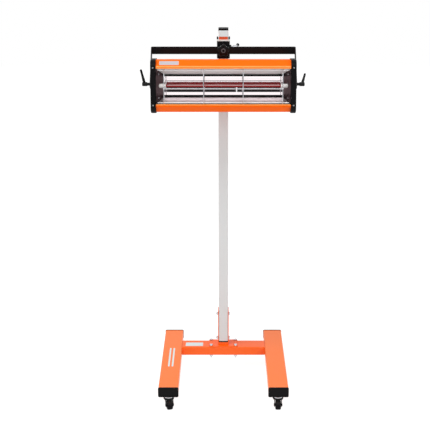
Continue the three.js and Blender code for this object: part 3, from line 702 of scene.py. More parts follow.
def lay_along(piece: bpy.types.Object, axis: Axis) -> bpy.types.Object:
    """Turns a piece made along Z so that it runs along an axis, about the origin.

    Args:
        piece: The object.
        axis: Where its +Z goes.

    Returns:
        The object.
    """
    turns = {Axis.X: turn(90, Axis.Y), Axis.Y: turn(-90, Axis.X), Axis.Z: Matrix.Identity(4)}
    return put(piece, turns[axis])


def put(piece: bpy.types.Object, place: Matrix) -> bpy.types.Object:
    """Moves and turns a piece by a matrix, and keeps the place in its mesh."""
    piece.matrix_world = place @ piece.matrix_world
    settle(piece)
    return piece


def copied(piece: bpy.types.Object, place: Matrix) -> bpy.types.Object:
    """A copy of a piece, with its own mesh, moved by a matrix."""
    select_only(piece)
    bpy.ops.object.duplicate()
    return put(bpy.context.active_object, place)


def joined(pieces: Sequence[bpy.types.Object]) -> bpy.types.Object:
    """Joins several objects into the first of them."""
    deselect()
    for piece in pieces:
        piece.select_set(True)
    bpy.context.view_layer.objects.active = pieces[0]
    bpy.ops.object.join()
    return pieces[0]


def rounded_profile(radius: float, low: float, high: float, edge: float, steps: int = 4) -> Profile:
    """The profile of a disc or rod whose two rims are rounded.

    Args:
        radius: Outer radius.
        low: Lower end.
        high: Upper end.
        edge: Radius of the rims.
        steps: Steps in each rim.

    Returns:
        Radius and height of each step.
    """
    angles = [math.pi / 2 * i / steps for i in range(steps + 1)]
    lower = [(radius - edge + edge * math.sin(a), low + edge - edge * math.cos(a)) for a in angles]
    upper = [(r, low + high - h) for r, h in reversed(lower)]
    return lower + upper


def rod(
    radius: float, reach: float, rim: float, sides: int, place: Matrix, steps: int = 4
) -> bpy.types.Object:
    """A rod with rounded rims that runs along X, evenly to both sides of a place.

    Args:
        radius: Its radius.
        reach: Its half length.
        rim: Radius of its rims.
        sides: How many faces go round.
        place: Where its middle goes.
        steps: Steps in each rim.

    Returns:
        The rod.
    """
    profile = rounded_profile(radius, -reach, reach, rim, steps)
    return put(lay_along(turned(profile, sides), Axis.X), place)


def round_corners(piece: bpy.types.Object, axis: Axis, radius: float, segments: int = 4) -> None:
    """Rounds the edges of a block that run along an axis.

    Args:
        piece: The block.
        axis: The direction of the edges.
        radius: How far the rounding reaches from each edge.
        segments: Steps in the rounding.
    """
    part = "XYZ".index(axis.value)
    with editing(piece):
        pick_edges(piece, lambda c, d: abs(d[part]) > STRAIGHT)
        bpy.ops.mesh.bevel(offset=radius, segments=segments, affect="EDGES")


def folded_strip(points: Profile, low: float, high: float, bend: float) -> bpy.types.Object:
    """An open strip that follows a line in the YZ plane and runs along X, with rounded folds.

    Args:
        points: The line's corners, Y and Z.
        low: Where the strip starts along X.
        high: Where it ends.
        bend: Setback of each fold's rounding from its corner.

    Returns:
        The strip, one face thick.
    """
    deselect()
    (y0, z0), (y1, z1) = points[0], points[1]
    length = math.hypot(y1 - y0, z1 - z0)
    bpy.ops.mesh.primitive_plane_add(size=1)
    piece = bpy.context.active_object
    piece.scale = (high - low, length, 1)
    piece.rotation_euler = (math.atan2(z1 - z0, y1 - y0), 0, 0)
    piece.location = ((low + high) / 2, (y0 + y1) / 2, (z0 + z1) / 2)
    settle(piece)

    def on_fold(folds: Profile) -> Test:
        """A test for the edges along X at one of some folds."""
        return lambda c, d: abs(d.x) > STRAIGHT and any(
            math.hypot(c.y - y, c.z - z) < NEAR for y, z in folds
        )

    with editing(piece):
        for (ya, za), (yb, zb) in zip(points[1:], points[2:]):
            pick_edges(piece, on_fold([(ya, za)]))
            extrude((0, yb - ya, zb - za))
        pick_edges(piece, on_fold(points[1:-1]))
        bpy.ops.mesh.bevel(offset=bend, segments=4, affect="EDGES")
    return piece


def wire(points: Sequence[tuple[float, float, float]], radius: float) -> bpy.types.Object:
    """A round wire that curves along a line of points.

    Args:
        points: The places that it passes or bends toward.
        radius: Its radius.

    Returns:
        The wire as a closed mesh.
    """
    deselect()
    bpy.ops.curve.primitive_nurbs_path_add()
    piece = bpy.context.active_object
    line = piece.data
    line.splines.clear()
    spline = line.splines.new("NURBS")
    spline.points.add(len(points) - 1)
    for point, place in zip(spline.points, points):
        point.co = (*place, 1)
    spline.use_endpoint_u = True
    spline.order_u = 3
    line.dimensions = "3D"
    line.resolution_u = 8
    line.bevel_depth = radius
    line.bevel_resolution = 3
    line.use_fill_caps = True
    select_only(piece)
    bpy.ops.object.convert(target="MESH")
    piece = bpy.context.active_object
    outward(piece)
    return piece


def united(first: bpy.types.Object, second: bpy.types.Object) -> bpy.types.Object:
    """Unites two closed pieces into the first, and removes the second."""
    apply_modifier(first, "BOOLEAN", operation="UNION", object=second, solver="EXACT")
    discard(second)
    return first


def carved(first: bpy.types.Object, tool: bpy.types.Object) -> bpy.types.Object:
    """Cuts a closed tool out of a closed piece, and removes the tool."""
    apply_modifier(first, "BOOLEAN", operation="DIFFERENCE", object=tool, solver="EXACT")
    discard(tool)
    return first


def screw_head(radius: float, height: float) -> bpy.types.Object:
    """A domed screw head with a hexagon recess, along Z from its seat at 0."""
    dome = [
        (radius * math.cos(a), height * (DOME_FOOT + (1 - DOME_FOOT) * math.sin(a)))
        for a in DOME_STEPS
    ]
    head = turned([(radius, 0), *dome], 28)
    across, floor = RECESS_SHARES
    recess = turned([(radius * across, height * floor), (radius * across, height * 2)], 6)
    return carved(head, recess)


class Workshop:
    """Where pieces get their finish, their body and their name.

    Attributes:
        effects: The shared shader groups.
        materials: The finishes already made.
        count: How many pieces have been handed over.
    """

    def __init__(self, frame: dict[str, object]) -> None:
        """Keeps the frame and starts with no material made."""
        self.frame = frame
        self.effects = Effects()
        self.materials: dict[str, bpy.types.Material] = {}
        self.count = 0

    def material(self, finish: Finish) -> bpy.types.Material:
        """The material of a finish, made the first time it is asked for."""
        if finish.name not in self.materials:
            self.materials[finish.name] = finish.build(self.effects)
        return self.materials[finish.name]

    def dress(self, node: str, finish: Finish) -> None:
        """Gives a node of the frame a finish; its mesh is left alone."""
        piece = self.frame["nodes"][node]
        for holder in piece.material_slots:
            holder.material = self.material(finish)

    def hand_over(
        self,
        piece: bpy.types.Object,
        name: str,
        body: str,
        *finishes: Finish,
        stands_for: Sequence[str] = (),
        smooth: float = 35,
    ) -> None:
        """Finishes a piece: shading, materials, body and the nodes that it stands for.

        Args:
            piece: The object, its place in its mesh.
            name: Its name.
            body: The body that it rides on.
            finishes: Its finishes, one for each of its material slots.
            stands_for: The nodes that it replaces.
            smooth: Edges flatter than this, in degrees, are shaded smooth.
        """
        piece.name = name
        piece.data.name = name
        while len(piece.data.materials) < len(finishes):
            piece.data.materials.append(None)
        for index, finish in enumerate(finishes):
            piece.data.materials[index] = self.material(finish)
        while len(piece.data.materials) > len(finishes):
            piece.data.materials.pop()
        select_only(piece)
        bpy.ops.object.shade_smooth_by_angle(angle=math.radians(smooth))
        apply_modifier(piece, "WEIGHTED_NORMAL", keep_sharp=True)
        if stands_for:
            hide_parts(*stands_for)
        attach(piece, body)
        self.count += 1
        log.info("%s: %d faces, rides on %s", name, len(piece.data.polygons), body)

    def refine(self, node: str, body: str, finish: Finish, edge: Edge) -> None:
        """Replaces a node by a copy of it with rounded edges and clean faces.

        Args:
            node: The node.
            body: The body that it rides on.
            finish: Its finish.
            edge: How its edges are rounded.
        """
        source = self.frame["nodes"][node]
        piece = bpy.data.objects.new(node + "_surface", source.data.copy())
        bpy.context.scene.collection.objects.link(piece)
        piece.matrix_world = source.matrix_world
        settle(piece)
        bpy.ops.mesh.customdata_custom_splitnormals_clear()
        with editing(piece):
            bpy.ops.mesh.select_all(action="SELECT")
            bpy.ops.mesh.remove_doubles(threshold=MERGE / 2)
            bpy.ops.mesh.dissolve_limited(angle_limit=FLAT)
            bpy.ops.mesh.select_all(action="SELECT")
            bpy.ops.mesh.normals_make_consistent(inside=False)
        soften(piece, edge)
        self.hand_over(piece, node + "_surface", body, finish, stands_for=[node])


def centre_of(node: str) -> Vector:
    """The middle of a node's box."""
    low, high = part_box(node)
    return (low + high) / 2


def both_ways(half: Profile) -> list[tuple[float, float]]:
    """A profile's lower half followed by its mirror image."""
    return [*half, *((place, -height) for place, height in reversed(half))]


@dataclass
class BaseFrame:
    """The orange H-shaped base, its tube plugs, the mast socket and the bolts.

    Attributes:
        plate_film: Thickness of the blank plate on the cross tube.
        plate_size: Width and depth of that plate.
        plate_inset: Distance of that plate from the left leg.
        plate_forward: How far its middle lies in front of the cross tube's.
        corner: Rounding of the corners of plate and stripes.
        stripe_film: Thickness of the stripes on the left leg.
        stripe_width: Width of each stripe.
        stripe_length: Length of each stripe.
        stripe_start: Where they start, as a share of the leg's length.
        stripe_places: Where each starts beside the leg's middle, in stripe widths.
    """

    plate_film: float = 0.25 * MM
    plate_size: tuple[float, float] = (76 * MM, 36 * MM)
    plate_inset: float = 16 * MM
    plate_forward: float = 6 * MM
    corner: float = 2 * MM
    stripe_film: float = 0.15 * MM
    stripe_width: float = 7 * MM
    stripe_length: float = 185 * MM
    stripe_start: float = 0.34
    stripe_places: tuple[float, float] = (-1.6, 0.6)

    def build(self, shop: Workshop) -> None:
        """Makes and dresses the base."""
        for _, side in SIDES:
            # The leg tubes take the lighter copy of the orange: painted light.
            shop.refine(f"leg_tube_{side}", "stand", LIT_ORANGE_LEG, TUBE_EDGE)
            for end in ("front", "rear"):
                shop.refine(f"leg_plug_{end}_{side}", "stand", PLASTIC, MOULDED_EDGE)
        shop.refine("cross_tube", "stand", ORANGE_BASE, TUBE_EDGE)
        shop.refine("mast_socket", "stand", ORANGE_BASE, METAL_EDGE)
        for bolt in ("socket_bolt_1", "socket_bolt_2", "socket_bolt_3", "socket_bolt_4"):
            shop.refine(bolt, "stand", ZINC, METAL_EDGE)
        for bolt in ("mast_cross_bolt_lower", "mast_cross_bolt_upper"):
            shop.refine(bolt, "stand", ZINC, METAL_EDGE)
        self.plate(shop)
        self.stripes(shop)

    def plate(self, shop: Workshop) -> None:
        """The blank white plate on the cross tube, left of the socket."""
        leg_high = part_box("leg_tube_left")[1]
        low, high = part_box("cross_tube")
        width, depth = self.plate_size
        x = leg_high.x + self.plate_inset
        y = (low.y + high.y) / 2 - self.plate_forward
        top = high.z + self.plate_film
        plate = block((x, y - depth / 2, high.z), (x + width, y + depth / 2, top))
        round_corners(plate, Axis.Z, self.corner)
        shop.hand_over(plate, "cross_tube_plate", "stand", WHITE)

    def stripes(self, shop: Workshop) -> None:
        """Two plain pale stripes along the left leg's top."""
        low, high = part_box("leg_tube_left")
        start = low.y + self.stripe_start * (high.y - low.y)
        end = start + self.stripe_length
        for index, place in enumerate(self.stripe_places):
            x = (low.x + high.x) / 2 + place * self.stripe_width
            top = high.z + self.stripe_film
            stripe = block((x, start, high.z), (x + self.stripe_width, end, top))
            round_corners(stripe, Axis.Z, self.corner)
            shop.hand_over(stripe, f"leg_stripe_{index + 1}", "stand", WHITE)


@dataclass
class Casters:
    """The four swivel casters.

    Attributes:
        places: Name and turn of each caster, in degrees, its wheel trailing toward +X at 0.
        radius: Wheel radius.
        trail: Distance from the swivel axis to the axle.
        tyre_half: Radius and place along the axle of each step of half the tyre, from its side
            over its shoulder to its tread.
        hub_half: The same of half the hub: its boss, the web that is set back and its rim.
        steps: How many faces go round.
    """

    places: tuple[tuple[str, float], ...] = (
        ("front_left", -76), ("front_right", -90), ("rear_left", 70), ("rear_right", 110)
    )
    radius: float = 20 * MM
    trail: float = 14 * MM
    tyre_half: Profile = (
        (15 * MM, -11 * MM), (17 * MM, -11 * MM), (18.8 * MM, -9.4 * MM), (19.8 * MM, -6.5 * MM)
    )
    hub_half: Profile = (
        (4.3 * MM, -12 * MM), (8.3 * MM, -12 * MM), (8.8 * MM, -7.5 * MM),
        (12 * MM, -7.5 * MM), (12.6 * MM, -10.8 * MM), (15 * MM, -11 * MM),
    )
    steps: int = 56

    def build(self, shop: Workshop) -> None:
        """Makes one wheel, copies it to each caster, and refines the forks and stems."""
        profile = both_ways(self.tyre_half)
        profile.insert(len(self.tyre_half), (self.radius, 0))
        tyre, hub = self.ring(profile), self.ring(both_ways(self.hub_half))
        for name, angle in self.places:
            stem = centre_of(f"caster_stem_{name}")
            place = shift(stem.x, stem.y) @ turn(angle, Axis.Z)
            shop.refine(f"caster_stem_{name}", "stand", ZINC, METAL_EDGE)
            shop.refine(f"caster_fork_{name}", f"caster_fork_{name}", POWDER, METAL_EDGE)
            wheel = f"caster_wheel_{name}"
            shop.hand_over(copied(tyre, place), f"{wheel}_tyre", wheel, TREAD, stands_for=[wheel])
            shop.hand_over(copied(hub, place), f"{wheel}_hub", wheel, PLASTIC)
        discard(tyre)
        discard(hub)

    def ring(self, profile: Profile) -> bpy.types.Object:
        """A ring about the axle of a caster at turn 0.

        Args:
            profile: Its closed profile, radius and place along the axle.

        Returns:
            The ring.
        """
        deselect()
        bpy.ops.mesh.primitive_circle_add(vertices=len(profile), radius=1, fill_type="NGON")
        piece = bpy.context.active_object
        for vertex, (radius, height) in zip(piece.data.vertices, profile):
            vertex.co = (radius, 0, height)
        with editing(piece):
            bpy.ops.mesh.select_all(action="SELECT")
            bpy.ops.mesh.spin(steps=self.steps, angle=2 * math.pi, center=(0, 0, 0), axis=(0, 0, 1))
        outward(piece)
        return put(lay_along(piece, Axis.Y), shift(self.trail, 0, self.radius))


@dataclass
class Mast:
    """The square mast, its cap, its two blank films and a dark band at its foot as painted shade.

    Attributes:
        film: Thickness of the films.
        white_height: Height of the white film.
        band_height: Height of the coloured film under it.
        side_gap: Bare strip at each side of the films.
        cap_skirt: Height of the dark skirt under the top cap.
        foot_rise: Height of the painted shade band's lower edge above the mast's foot.
        foot_height: Height of the painted shade band.
    """

    film: float = 0.12 * MM
    white_height: float = 24.5 * MM
    band_height: float = 12 * MM
    side_gap: float = 2.2 * MM
    cap_skirt: float = 4 * MM
    foot_rise: float = 11 * MM
    foot_height: float = 6 * MM

    def build(self, shop: Workshop) -> None:
        """Makes and dresses the mast."""
        shop.refine("mast_tube", "stand", MAST, MAST_EDGE)
        shop.refine("mast_top_cap", "stand", PLASTIC, MOULDED_EDGE)
        low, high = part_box("mast_tube")
        top = high.z - self.cap_skirt
        white = top - self.white_height
        left, right = low.x + self.side_gap, high.x - self.side_gap
        for bottom, upper, finish in ((white, top, WHITE), (white - self.band_height, white, BAND)):
            film = block((left, low.y - self.film, bottom), (right, low.y, upper))
            shop.hand_over(film, f"mast_{finish.name}", "stand", finish)
        # A dark band round the mast just above its socket: painted shade where the mast stands in
        # it.
        foot = low.z + self.foot_rise
        margin = Vector((self.film, self.film, 0))
        for name, bottom, upper in (
            ("foot_shade_band", foot, foot + self.foot_height), ("cap_skirt", top, high.z)
        ):
            near, far = low - margin, high + margin
            band = block((near.x, near.y, bottom), (far.x, far.y, upper))
            shop.hand_over(band, f"mast_{name}", "stand", PLASTIC)


@dataclass
class Carriage:
    """The sliding carriage with its glides, friction washer, star knob and height clamp.

    Attributes:
        knob_radius: Outer radius of the star knob.
        knob_lobes: How many lobes it has.
        knob_wall: Its thickness.
        knob_rim: Rounding of its rims.
        knob_sides: How many faces go round it.
        dip: How deep the hollows between the lobes are, as a share of the radius.
        dip_power: How much narrower than a wave the hollows are.
        recess: Margin, depth and inner margin of the recess in its face.
        neck: Length of its neck.
        neck_shares: Radius of the neck's two ends, as shares of the knob's.
        insert: Radius and height of each step of the metal insert's cover.
        ring: Radius and height of each step of the raised ring round it, painted grey as a painted
            highlight.
        clamp_gap: Distance from the sleeve to the clamp's hub.
        clamp_rise: Height of the clamp's axis above the sleeve's lower end.
        hub_radius: Radius of the clamp's hub.
        hub_length: Length of the hub.
        hub_rim: Rounding of the hub's rims.
        shank_radius: Radius of the clamp's screw.
        arm_radius: Radius of the clamp's arm.
        arm_reach: Distance from the hub to the middle of the ball.
        arm_lean: How far the arm leans outward, in degrees.
        arm_turn: Turn of the clamp about its hub from upright, in degrees.
        ball_radius: Radius of the ball on the arm.
        ball_foot: Radius of the flat where the ball meets the arm.
        lug_gap: Distance from the mast to the lugs of the upper glide.
        lug_reach: Distance from the mast to the lugs' outer face.
        lug_inset: How far the lugs' ends lie within the mast's depth.
        lug_height: Height of the lugs.
    """

    knob_radius: float = 25 * MM
    knob_lobes: int = 5
    knob_wall: float = 15 * MM
    knob_rim: float = 3.2 * MM
    knob_sides: int = 90
    dip: float = 0.21
    dip_power: float = 1.3
    recess: tuple[float, float, float] = (9 * MM, 1.6 * MM, 0.8 * MM)
    neck: float = 7 * MM
    neck_shares: tuple[float, float] = (0.45, 0.4)
    insert: Profile = ((4.8 * MM, 9 * MM), (4.8 * MM, 15.6 * MM), (4 * MM, 16.2 * MM))
    ring: Profile = ((9.8 * MM, 12.4 * MM), (9.8 * MM, 14 * MM), (8.6 * MM, 15.2 * MM))
    clamp_gap: float = 6.3 * MM
    clamp_rise: float = 36.5 * MM
    hub_radius: float = 8 * MM
    hub_length: float = 14 * MM
    hub_rim: float = 1.6 * MM
    shank_radius: float = 4 * MM
    arm_radius: float = 2.5 * MM
    arm_reach: float = 35 * MM
    arm_lean: float = 22
    arm_turn: float = -82
    ball_radius: float = 6.4 * MM
    ball_foot: float = 0.4 * MM
    lug_gap: float = 0.4 * MM
    lug_reach: float = 6.6 * MM
    lug_inset: float = 9 * MM
    lug_height: float = 9 * MM

    def build(self, shop: Workshop) -> None:
        """Makes and dresses the carriage."""
        shop.refine("carriage_sleeve", "carriage", POWDER, MOULDED_EDGE)
        shop.refine("carriage_glide_upper", "carriage", NYLON, GLIDE_EDGE)
        shop.refine("carriage_glide_lower", "carriage", PLASTIC, GLIDE_EDGE)
        shop.refine("yoke_pivot_stud", "carriage", ZINC, FINE_EDGE)
        shop.refine("friction_washer", "yoke", NYLON, FINE_EDGE)
        self.star_knob(shop)
        self.height_clamp(shop)
        self.glide_lugs(shop)

    def star_knob(self, shop: Workshop) -> None:
        """The lobed knob with its rounded rims, its neck, its insert and a raised ring painted grey
        as a painted highlight.
        """
        low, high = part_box("star_knob")
        axis = (low + high) / 2
        place = shift(axis.x, high.y - self.neck, axis.z) @ turn(90, Axis.X)
        foot, top = (self.knob_radius * share for share in self.neck_shares)
        neck = turned([(foot, -self.neck), (top, OVERLAP)])
        knob = put(united(self.knob_body(), neck), place)
        node = "star_knob"
        shop.hand_over(knob, "star_knob_moulding", node, GLOSS_PLASTIC, stands_for=[node])
        insert = put(turned(self.insert, 32), place)
        shop.hand_over(insert, "star_knob_insert", "star_knob", PLASTIC)
        # The raised ring is painted grey: a painted highlight round the insert.
        ring = put(turned(self.ring), place)
        shop.hand_over(ring, "star_knob_ring", "star_knob", PAINTED_HIGHLIGHT_PLASTIC)

    def knob_body(self) -> bpy.types.Object:
        """The knob's lobed body with the recess in its face, along Z from 0."""
        profile = rounded_profile(self.knob_radius, 0, self.knob_wall, self.knob_rim)
        body = turned(profile, self.knob_sides)
        for vertex in body.data.vertices:
            if math.hypot(vertex.co.x, vertex.co.y) > 0.3 * self.knob_radius:
                angle = math.atan2(vertex.co.x, vertex.co.y)
                hollow = 0.5 - 0.5 * math.cos(self.knob_lobes * angle)
                share = 1 - self.dip * hollow ** self.dip_power
                vertex.co.x *= share
                vertex.co.y *= share
        margin, depth, inner = self.recess
        with editing(body):
            pick_faces(body, lambda c, n: n.z > STRAIGHT)
            bpy.ops.mesh.inset(thickness=margin)
            extrude((0, 0, -depth))
            bpy.ops.mesh.inset(thickness=inner)
        return body

    def height_clamp(self, shop: Workshop) -> None:
        """The clamp's zinc hub, shank and arm, and the black ball on the arm."""
        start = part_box("height_clamp_lever")[0].x
        sleeve_low, sleeve_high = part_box("carriage_sleeve")
        face = sleeve_high.x + self.clamp_gap
        place = shift(0, centre_of("mast_tube").y, sleeve_low.z + self.clamp_rise)
        place = place @ turn(self.arm_turn, Axis.X)
        lean = shift(face + self.hub_length / 2) @ turn(self.arm_lean, Axis.Y)
        rims = rounded_profile(self.hub_radius, 0, self.hub_length, self.hub_rim)
        hub = put(lay_along(turned(rims, 36), Axis.X), shift(face))
        shank = [(self.shank_radius, start), (self.shank_radius, face + OVERLAP)]
        shank = lay_along(turned(shank, 28), Axis.X)
        arm = put(turned([(self.arm_radius, 0), (self.arm_radius, self.arm_reach)], 20), lean)
        lever = put(united(united(hub, shank), arm), place)
        node = "height_clamp_lever"
        shop.hand_over(lever, "height_clamp_metal", "height_clamp", ZINC, stands_for=[node])
        radius = self.ball_radius
        ball = turned([
            (max(radius * math.cos(a), self.ball_foot), self.arm_reach + radius * math.sin(a))
            for a in map(math.radians, range(-75, 91, 15))
        ], 32)
        shop.hand_over(put(ball, place @ lean), "height_clamp_ball", "height_clamp", PLASTIC)

    def glide_lugs(self, shop: Workshop) -> None:
        """The two black lugs that hold the upper glide beside the mast."""
        low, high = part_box("mast_tube")
        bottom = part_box("carriage_glide_upper")[1].z
        for side, name in SIDES:
            edge = low.x if side < 0 else high.x
            left, right = sorted((edge + side * self.lug_gap, edge + side * self.lug_reach))
            lug = block(
                (left, low.y + self.lug_inset, bottom),
                (right, high.y - self.lug_inset, bottom + self.lug_height),
            )
            soften(lug, LUG_EDGE)
            shop.hand_over(lug, f"glide_lug_{name}", "carriage", PLASTIC)


@dataclass
class LampHead:
    """The tilting head: housing, end caps, reflectors, infrared tube, guard and rear fittings.

    Sizes are measured from the middle of the housing, which hangs below the tilt axis, and -Y is
    its front. Places in its YZ plane are given as Y and Z.

    Attributes:
        drop: How far the housing's middle hangs below the tilt axis.
        rest_tilt: How far the mouth is turned upward at rest, in degrees.
        front: Distance from the middle to the housing's front.
        lip: Height of the front's outer fold.
        opening: Half height of the mouth.
        shoulder: Depth of the sloped shoulder.
        half_height: Half height of the housing.
        wall: Wall of the sheets.
        fold: Setback of the front shells' folds.
        cover_fold: Setback of the rear cover's folds.
        seam: Gap between the front shells and the rear cover.
        shell_end: Half length of the shells.
        shell_rear: Where the front shells end.
        back: Where the rear cover's flat back lies.
        rear_half: Half height of the flat back.
        vent: Length and height of a vent.
        vent_round: Rounding of a vent's ends, and the steps in it.
        vent_pitch: Distance between the vents along the cover and between their rows.
        vent_columns: How many vents a row has.
        vent_cut: How far the vents' cutter reaches inward and outward.
        switch_cut: Margin beside the switch and half height of its hole.
        gland_hole: Radius of the hole for the cable gland.
        rear_cut: Where the cutters of both holes start and end.
        cover_screw: Radius and height of the rear cover's screws.
        cover_screw_place: Where they sit along X and Z.
        cap_inner: Where the end caps start.
        cap_width: Width of an end cap.
        cap_front: Front of the end caps.
        cap_back: Back of the end caps.
        cap_half: Half height of the end caps.
        cap_corner: Rounding of their outline.
        cap_round: Rounding of their outer edge.
        cap_segments: Steps in the rounding of the outline and of the outer edge.
        cap_recess: Margin and depth of the recess in their outer face.
        rim_margin: How near to the outline an edge of the rim lies.
        skin: How near to the outline's flats such an edge lies.
        pit: Radius, reach and depth of the pits for their screws.
        cap_screw: Radius and height of their screws.
        cap_screw_place: Where the screws sit along X and Z.
        cap_screw_rise: How far the screws' seats stand in front of the caps.
        stud_hole: Radius and depth of the holes for the tilt studs, and their cutter's length.
        tube_radius: Radius of the infrared tube.
        tube_half: Half length of its glass.
        tube_rim: Rounding of the glass's ends.
        tube_place: The tube's place.
        tube_highlight: Radius of the pale rod that stands half out of the glass's front as a
            painted highlight, and its place from the tube's axis.
        tube_highlight_end: How far it ends before the glass.
        support: Two corners of the strap that holds the tube's middle.
        ceramic: Radius and distance from the glass of each step of a ceramic end: its body with
            its groove, and its thinner neck.
        ceramic_gap: Gap between a ceramic end and the glass.
        wire_radius: Radius of the guard's wires.
        wire_places: Where the upright wires stand along X.
        wire_half: The upper half of an upright wire: its end behind the lip, its hook under the
            mouth's edge and its bow in front.
        level_place: The level wire's place.
        level_reach: Its half length.
        hem_radius: Radius of the reflectors' rolled hems.
        hem_place: The upper hem's place.
        hem_reach: Half length of the hems.
        rim: Rounding of the ends of hems, folds and wires.
        folds: Name, place and radius of each rolled fold of the front, painted a pale orange as a
            painted highlight.
        fold_reach: Half length of the folds.
        crease: Radius and place of the dark rod along the back reflector's crease, a painted dark
            reflection.
        crease_reach: Half length of the crease.
        sheet_screw: Radius and height of the end reflectors' screws.
        sheet_screw_place: Where the right ones sit.
        sheet_slant: Run and depth of the slanted end reflectors.
        plate: Left end, right end, half depth and film of the blank plate on the shoulder.
        plate_corner: Rounding of that plate's corners.
        place: The housing's middle at rest, set by build.
    """

    drop: float = 5 * MM
    rest_tilt: float = 6
    front: float = 70 * MM
    lip: float = 77 * MM
    opening: float = 69.5 * MM
    shoulder: float = 37 * MM
    half_height: float = 101 * MM
    wall: float = 2 * MM
    fold: float = 2.6 * MM
    cover_fold: float = 0.9 * MM
    seam: float = 0.3 * MM
    shell_end: float = 260.7 * MM
    shell_rear: float = 30 * MM
    back: float = 50 * MM
    rear_half: float = 83 * MM
    vent: tuple[float, float] = (34 * MM, 5 * MM)
    vent_round: tuple[float, int] = (2.4 * MM, 5)
    vent_pitch: tuple[float, float] = (44 * MM, 128 * MM)
    vent_columns: int = 8
    vent_cut: tuple[float, float] = (8 * MM, 4 * MM)
    switch_cut: tuple[float, float] = (2 * MM, 8.5 * MM)
    gland_hole: float = 8.3 * MM
    rear_cut: tuple[float, float] = (40 * MM, 60 * MM)
    cover_screw: tuple[float, float] = (3.6 * MM, 2.2 * MM)
    cover_screw_place: tuple[float, float] = (248 * MM, 74 * MM)
    cap_inner: float = 261 * MM
    cap_width: float = 20.5 * MM
    cap_front: float = -73 * MM
    cap_back: float = 53 * MM
    cap_half: float = 104 * MM
    cap_corner: float = 26 * MM
    cap_round: float = 5 * MM
    cap_segments: tuple[int, int] = (10, 5)
    cap_recess: tuple[float, float] = (11 * MM, 1.2 * MM)
    rim_margin: float = 6 * MM
    skin: float = 0.5 * MM
    pit: tuple[float, float, float] = (4.6 * MM, 2 * MM, 1.2 * MM)
    cap_screw: tuple[float, float] = (3.1 * MM, 2.2 * MM)
    cap_screw_place: tuple[float, float] = (271 * MM, 72 * MM)
    cap_screw_rise: float = 1.8 * MM
    stud_hole: tuple[float, float, float] = (4.3 * MM, 14.3 * MM, 60 * MM)
    tube_radius: float = 6 * MM
    tube_half: float = 223 * MM
    tube_rim: float = 3 * MM
    tube_place: tuple[float, float] = (-35 * MM, 1 * MM)
    tube_highlight: tuple[float, float, float] = (0.7 * MM, -5 * MM, 2.6 * MM)
    tube_highlight_end: float = 6 * MM
    support: tuple[tuple[float, float, float], tuple[float, float, float]] = (
        (49.3 * MM, -41 * MM, -22.5 * MM), (53.7 * MM, -39.5 * MM, -4.8 * MM)
    )
    ceramic: Profile = (
        (6.8 * MM, 0), (8 * MM, 1.2 * MM), (8 * MM, 7 * MM), (7.1 * MM, 7.6 * MM),
        (7.1 * MM, 9.4 * MM), (8 * MM, 10 * MM), (8 * MM, 25.5 * MM), (5.5 * MM, 25.9 * MM),
        (5.5 * MM, 34.5 * MM),
    )
    ceramic_gap: float = 0.3 * MM
    wire_radius: float = 1.8 * MM
    wire_places: tuple[float, ...] = (-228 * MM, -76 * MM, 76 * MM, 228 * MM)
    wire_half: Profile = (
        (-65.9 * MM, 74 * MM), (-65.9 * MM, 69 * MM), (-71.9 * MM, 60.5 * MM),
        (-83 * MM, 50 * MM), (-86 * MM, 40 * MM), (-86 * MM, 14.7 * MM),
    )
    level_place: tuple[float, float] = (-88.88 * MM, -7 * MM)
    level_reach: float = 231.6 * MM
    hem_radius: float = 2.2 * MM
    hem_place: tuple[float, float] = (-58.4 * MM, 63 * MM)
    hem_reach: float = 254 * MM
    rim: float = 0.8 * MM
    folds: tuple[tuple[str, float, float, float], ...] = (
        ("fold_upper", -66.75 * MM, 75.2 * MM, 3.6 * MM),
        ("lip_upper", -68.6 * MM, 70.2 * MM, 2.4 * MM),
        ("lip_lower", -68.6 * MM, -70.2 * MM, 2.4 * MM),
    )
    fold_reach: float = 260 * MM
    crease: tuple[float, float, float] = (0.9 * MM, -11.7 * MM, 20 * MM)
    crease_reach: float = 228 * MM
    sheet_screw: tuple[float, float] = (2.6 * MM, 1.6 * MM)
    sheet_screw_place: tuple[float, float, float] = (250.5 * MM, -45 * MM, 46 * MM)
    sheet_slant: tuple[float, float] = (28, 50)
    plate: tuple[float, float, float, float] = (-247 * MM, -172 * MM, 12.5 * MM, 0.3 * MM)
    plate_corner: float = 2 * MM
    place: Matrix = field(init=False)

    def build(self, shop: Workshop) -> None:
        """Makes and dresses the head."""
        axis = centre_of("tilt_stud_right")
        self.place = shift(0, axis.y, axis.z) @ turn(-self.rest_tilt, Axis.X) @ shift(z=-self.drop)
        self.housing(shop)
        self.rear_cover(shop)
        self.cover_screws(shop)
        for side, name in SIDES:
            self.end_cap(shop, side, name)
        self.reflectors(shop)
        for side, name in SIDES:
            self.sheet_screws(shop, side, name)
        self.heater(shop)
        for side, name in SIDES:
            self.ceramic_end(shop, side, name)
        self.guard(shop)
        shop.refine("switch_body", "head", PLASTIC, METAL_EDGE)
        shop.refine("switch_rocker", "switch_rocker", GLOSS_PLASTIC, METAL_EDGE)
        shop.refine("terminal_block", "head", CERAMIC, METAL_EDGE)
        shop.refine("cable_gland", "head", PLASTIC, FINE_EDGE)
        self.front_plate(shop)
        for _, name in SIDES:
            shop.refine(f"tilt_stud_{name}", "head", ZINC, FINE_EDGE)

    def shell(self, points: Profile, bend: float) -> bpy.types.Object:
        """One folded sheet of the housing, orange outside and near black inside as painted shade.

        Args:
            points: Its corners, Y and Z.
            bend: Setback of its folds.

        Returns:
            The sheet with its wall.
        """
        piece = folded_strip(points, -self.shell_end, self.shell_end, bend)
        if sum(f.normal.dot(f.center) * f.area for f in piece.data.polygons) < 0:
            with editing(piece):
                bpy.ops.mesh.select_all(action="SELECT")
                bpy.ops.mesh.flip_normals()
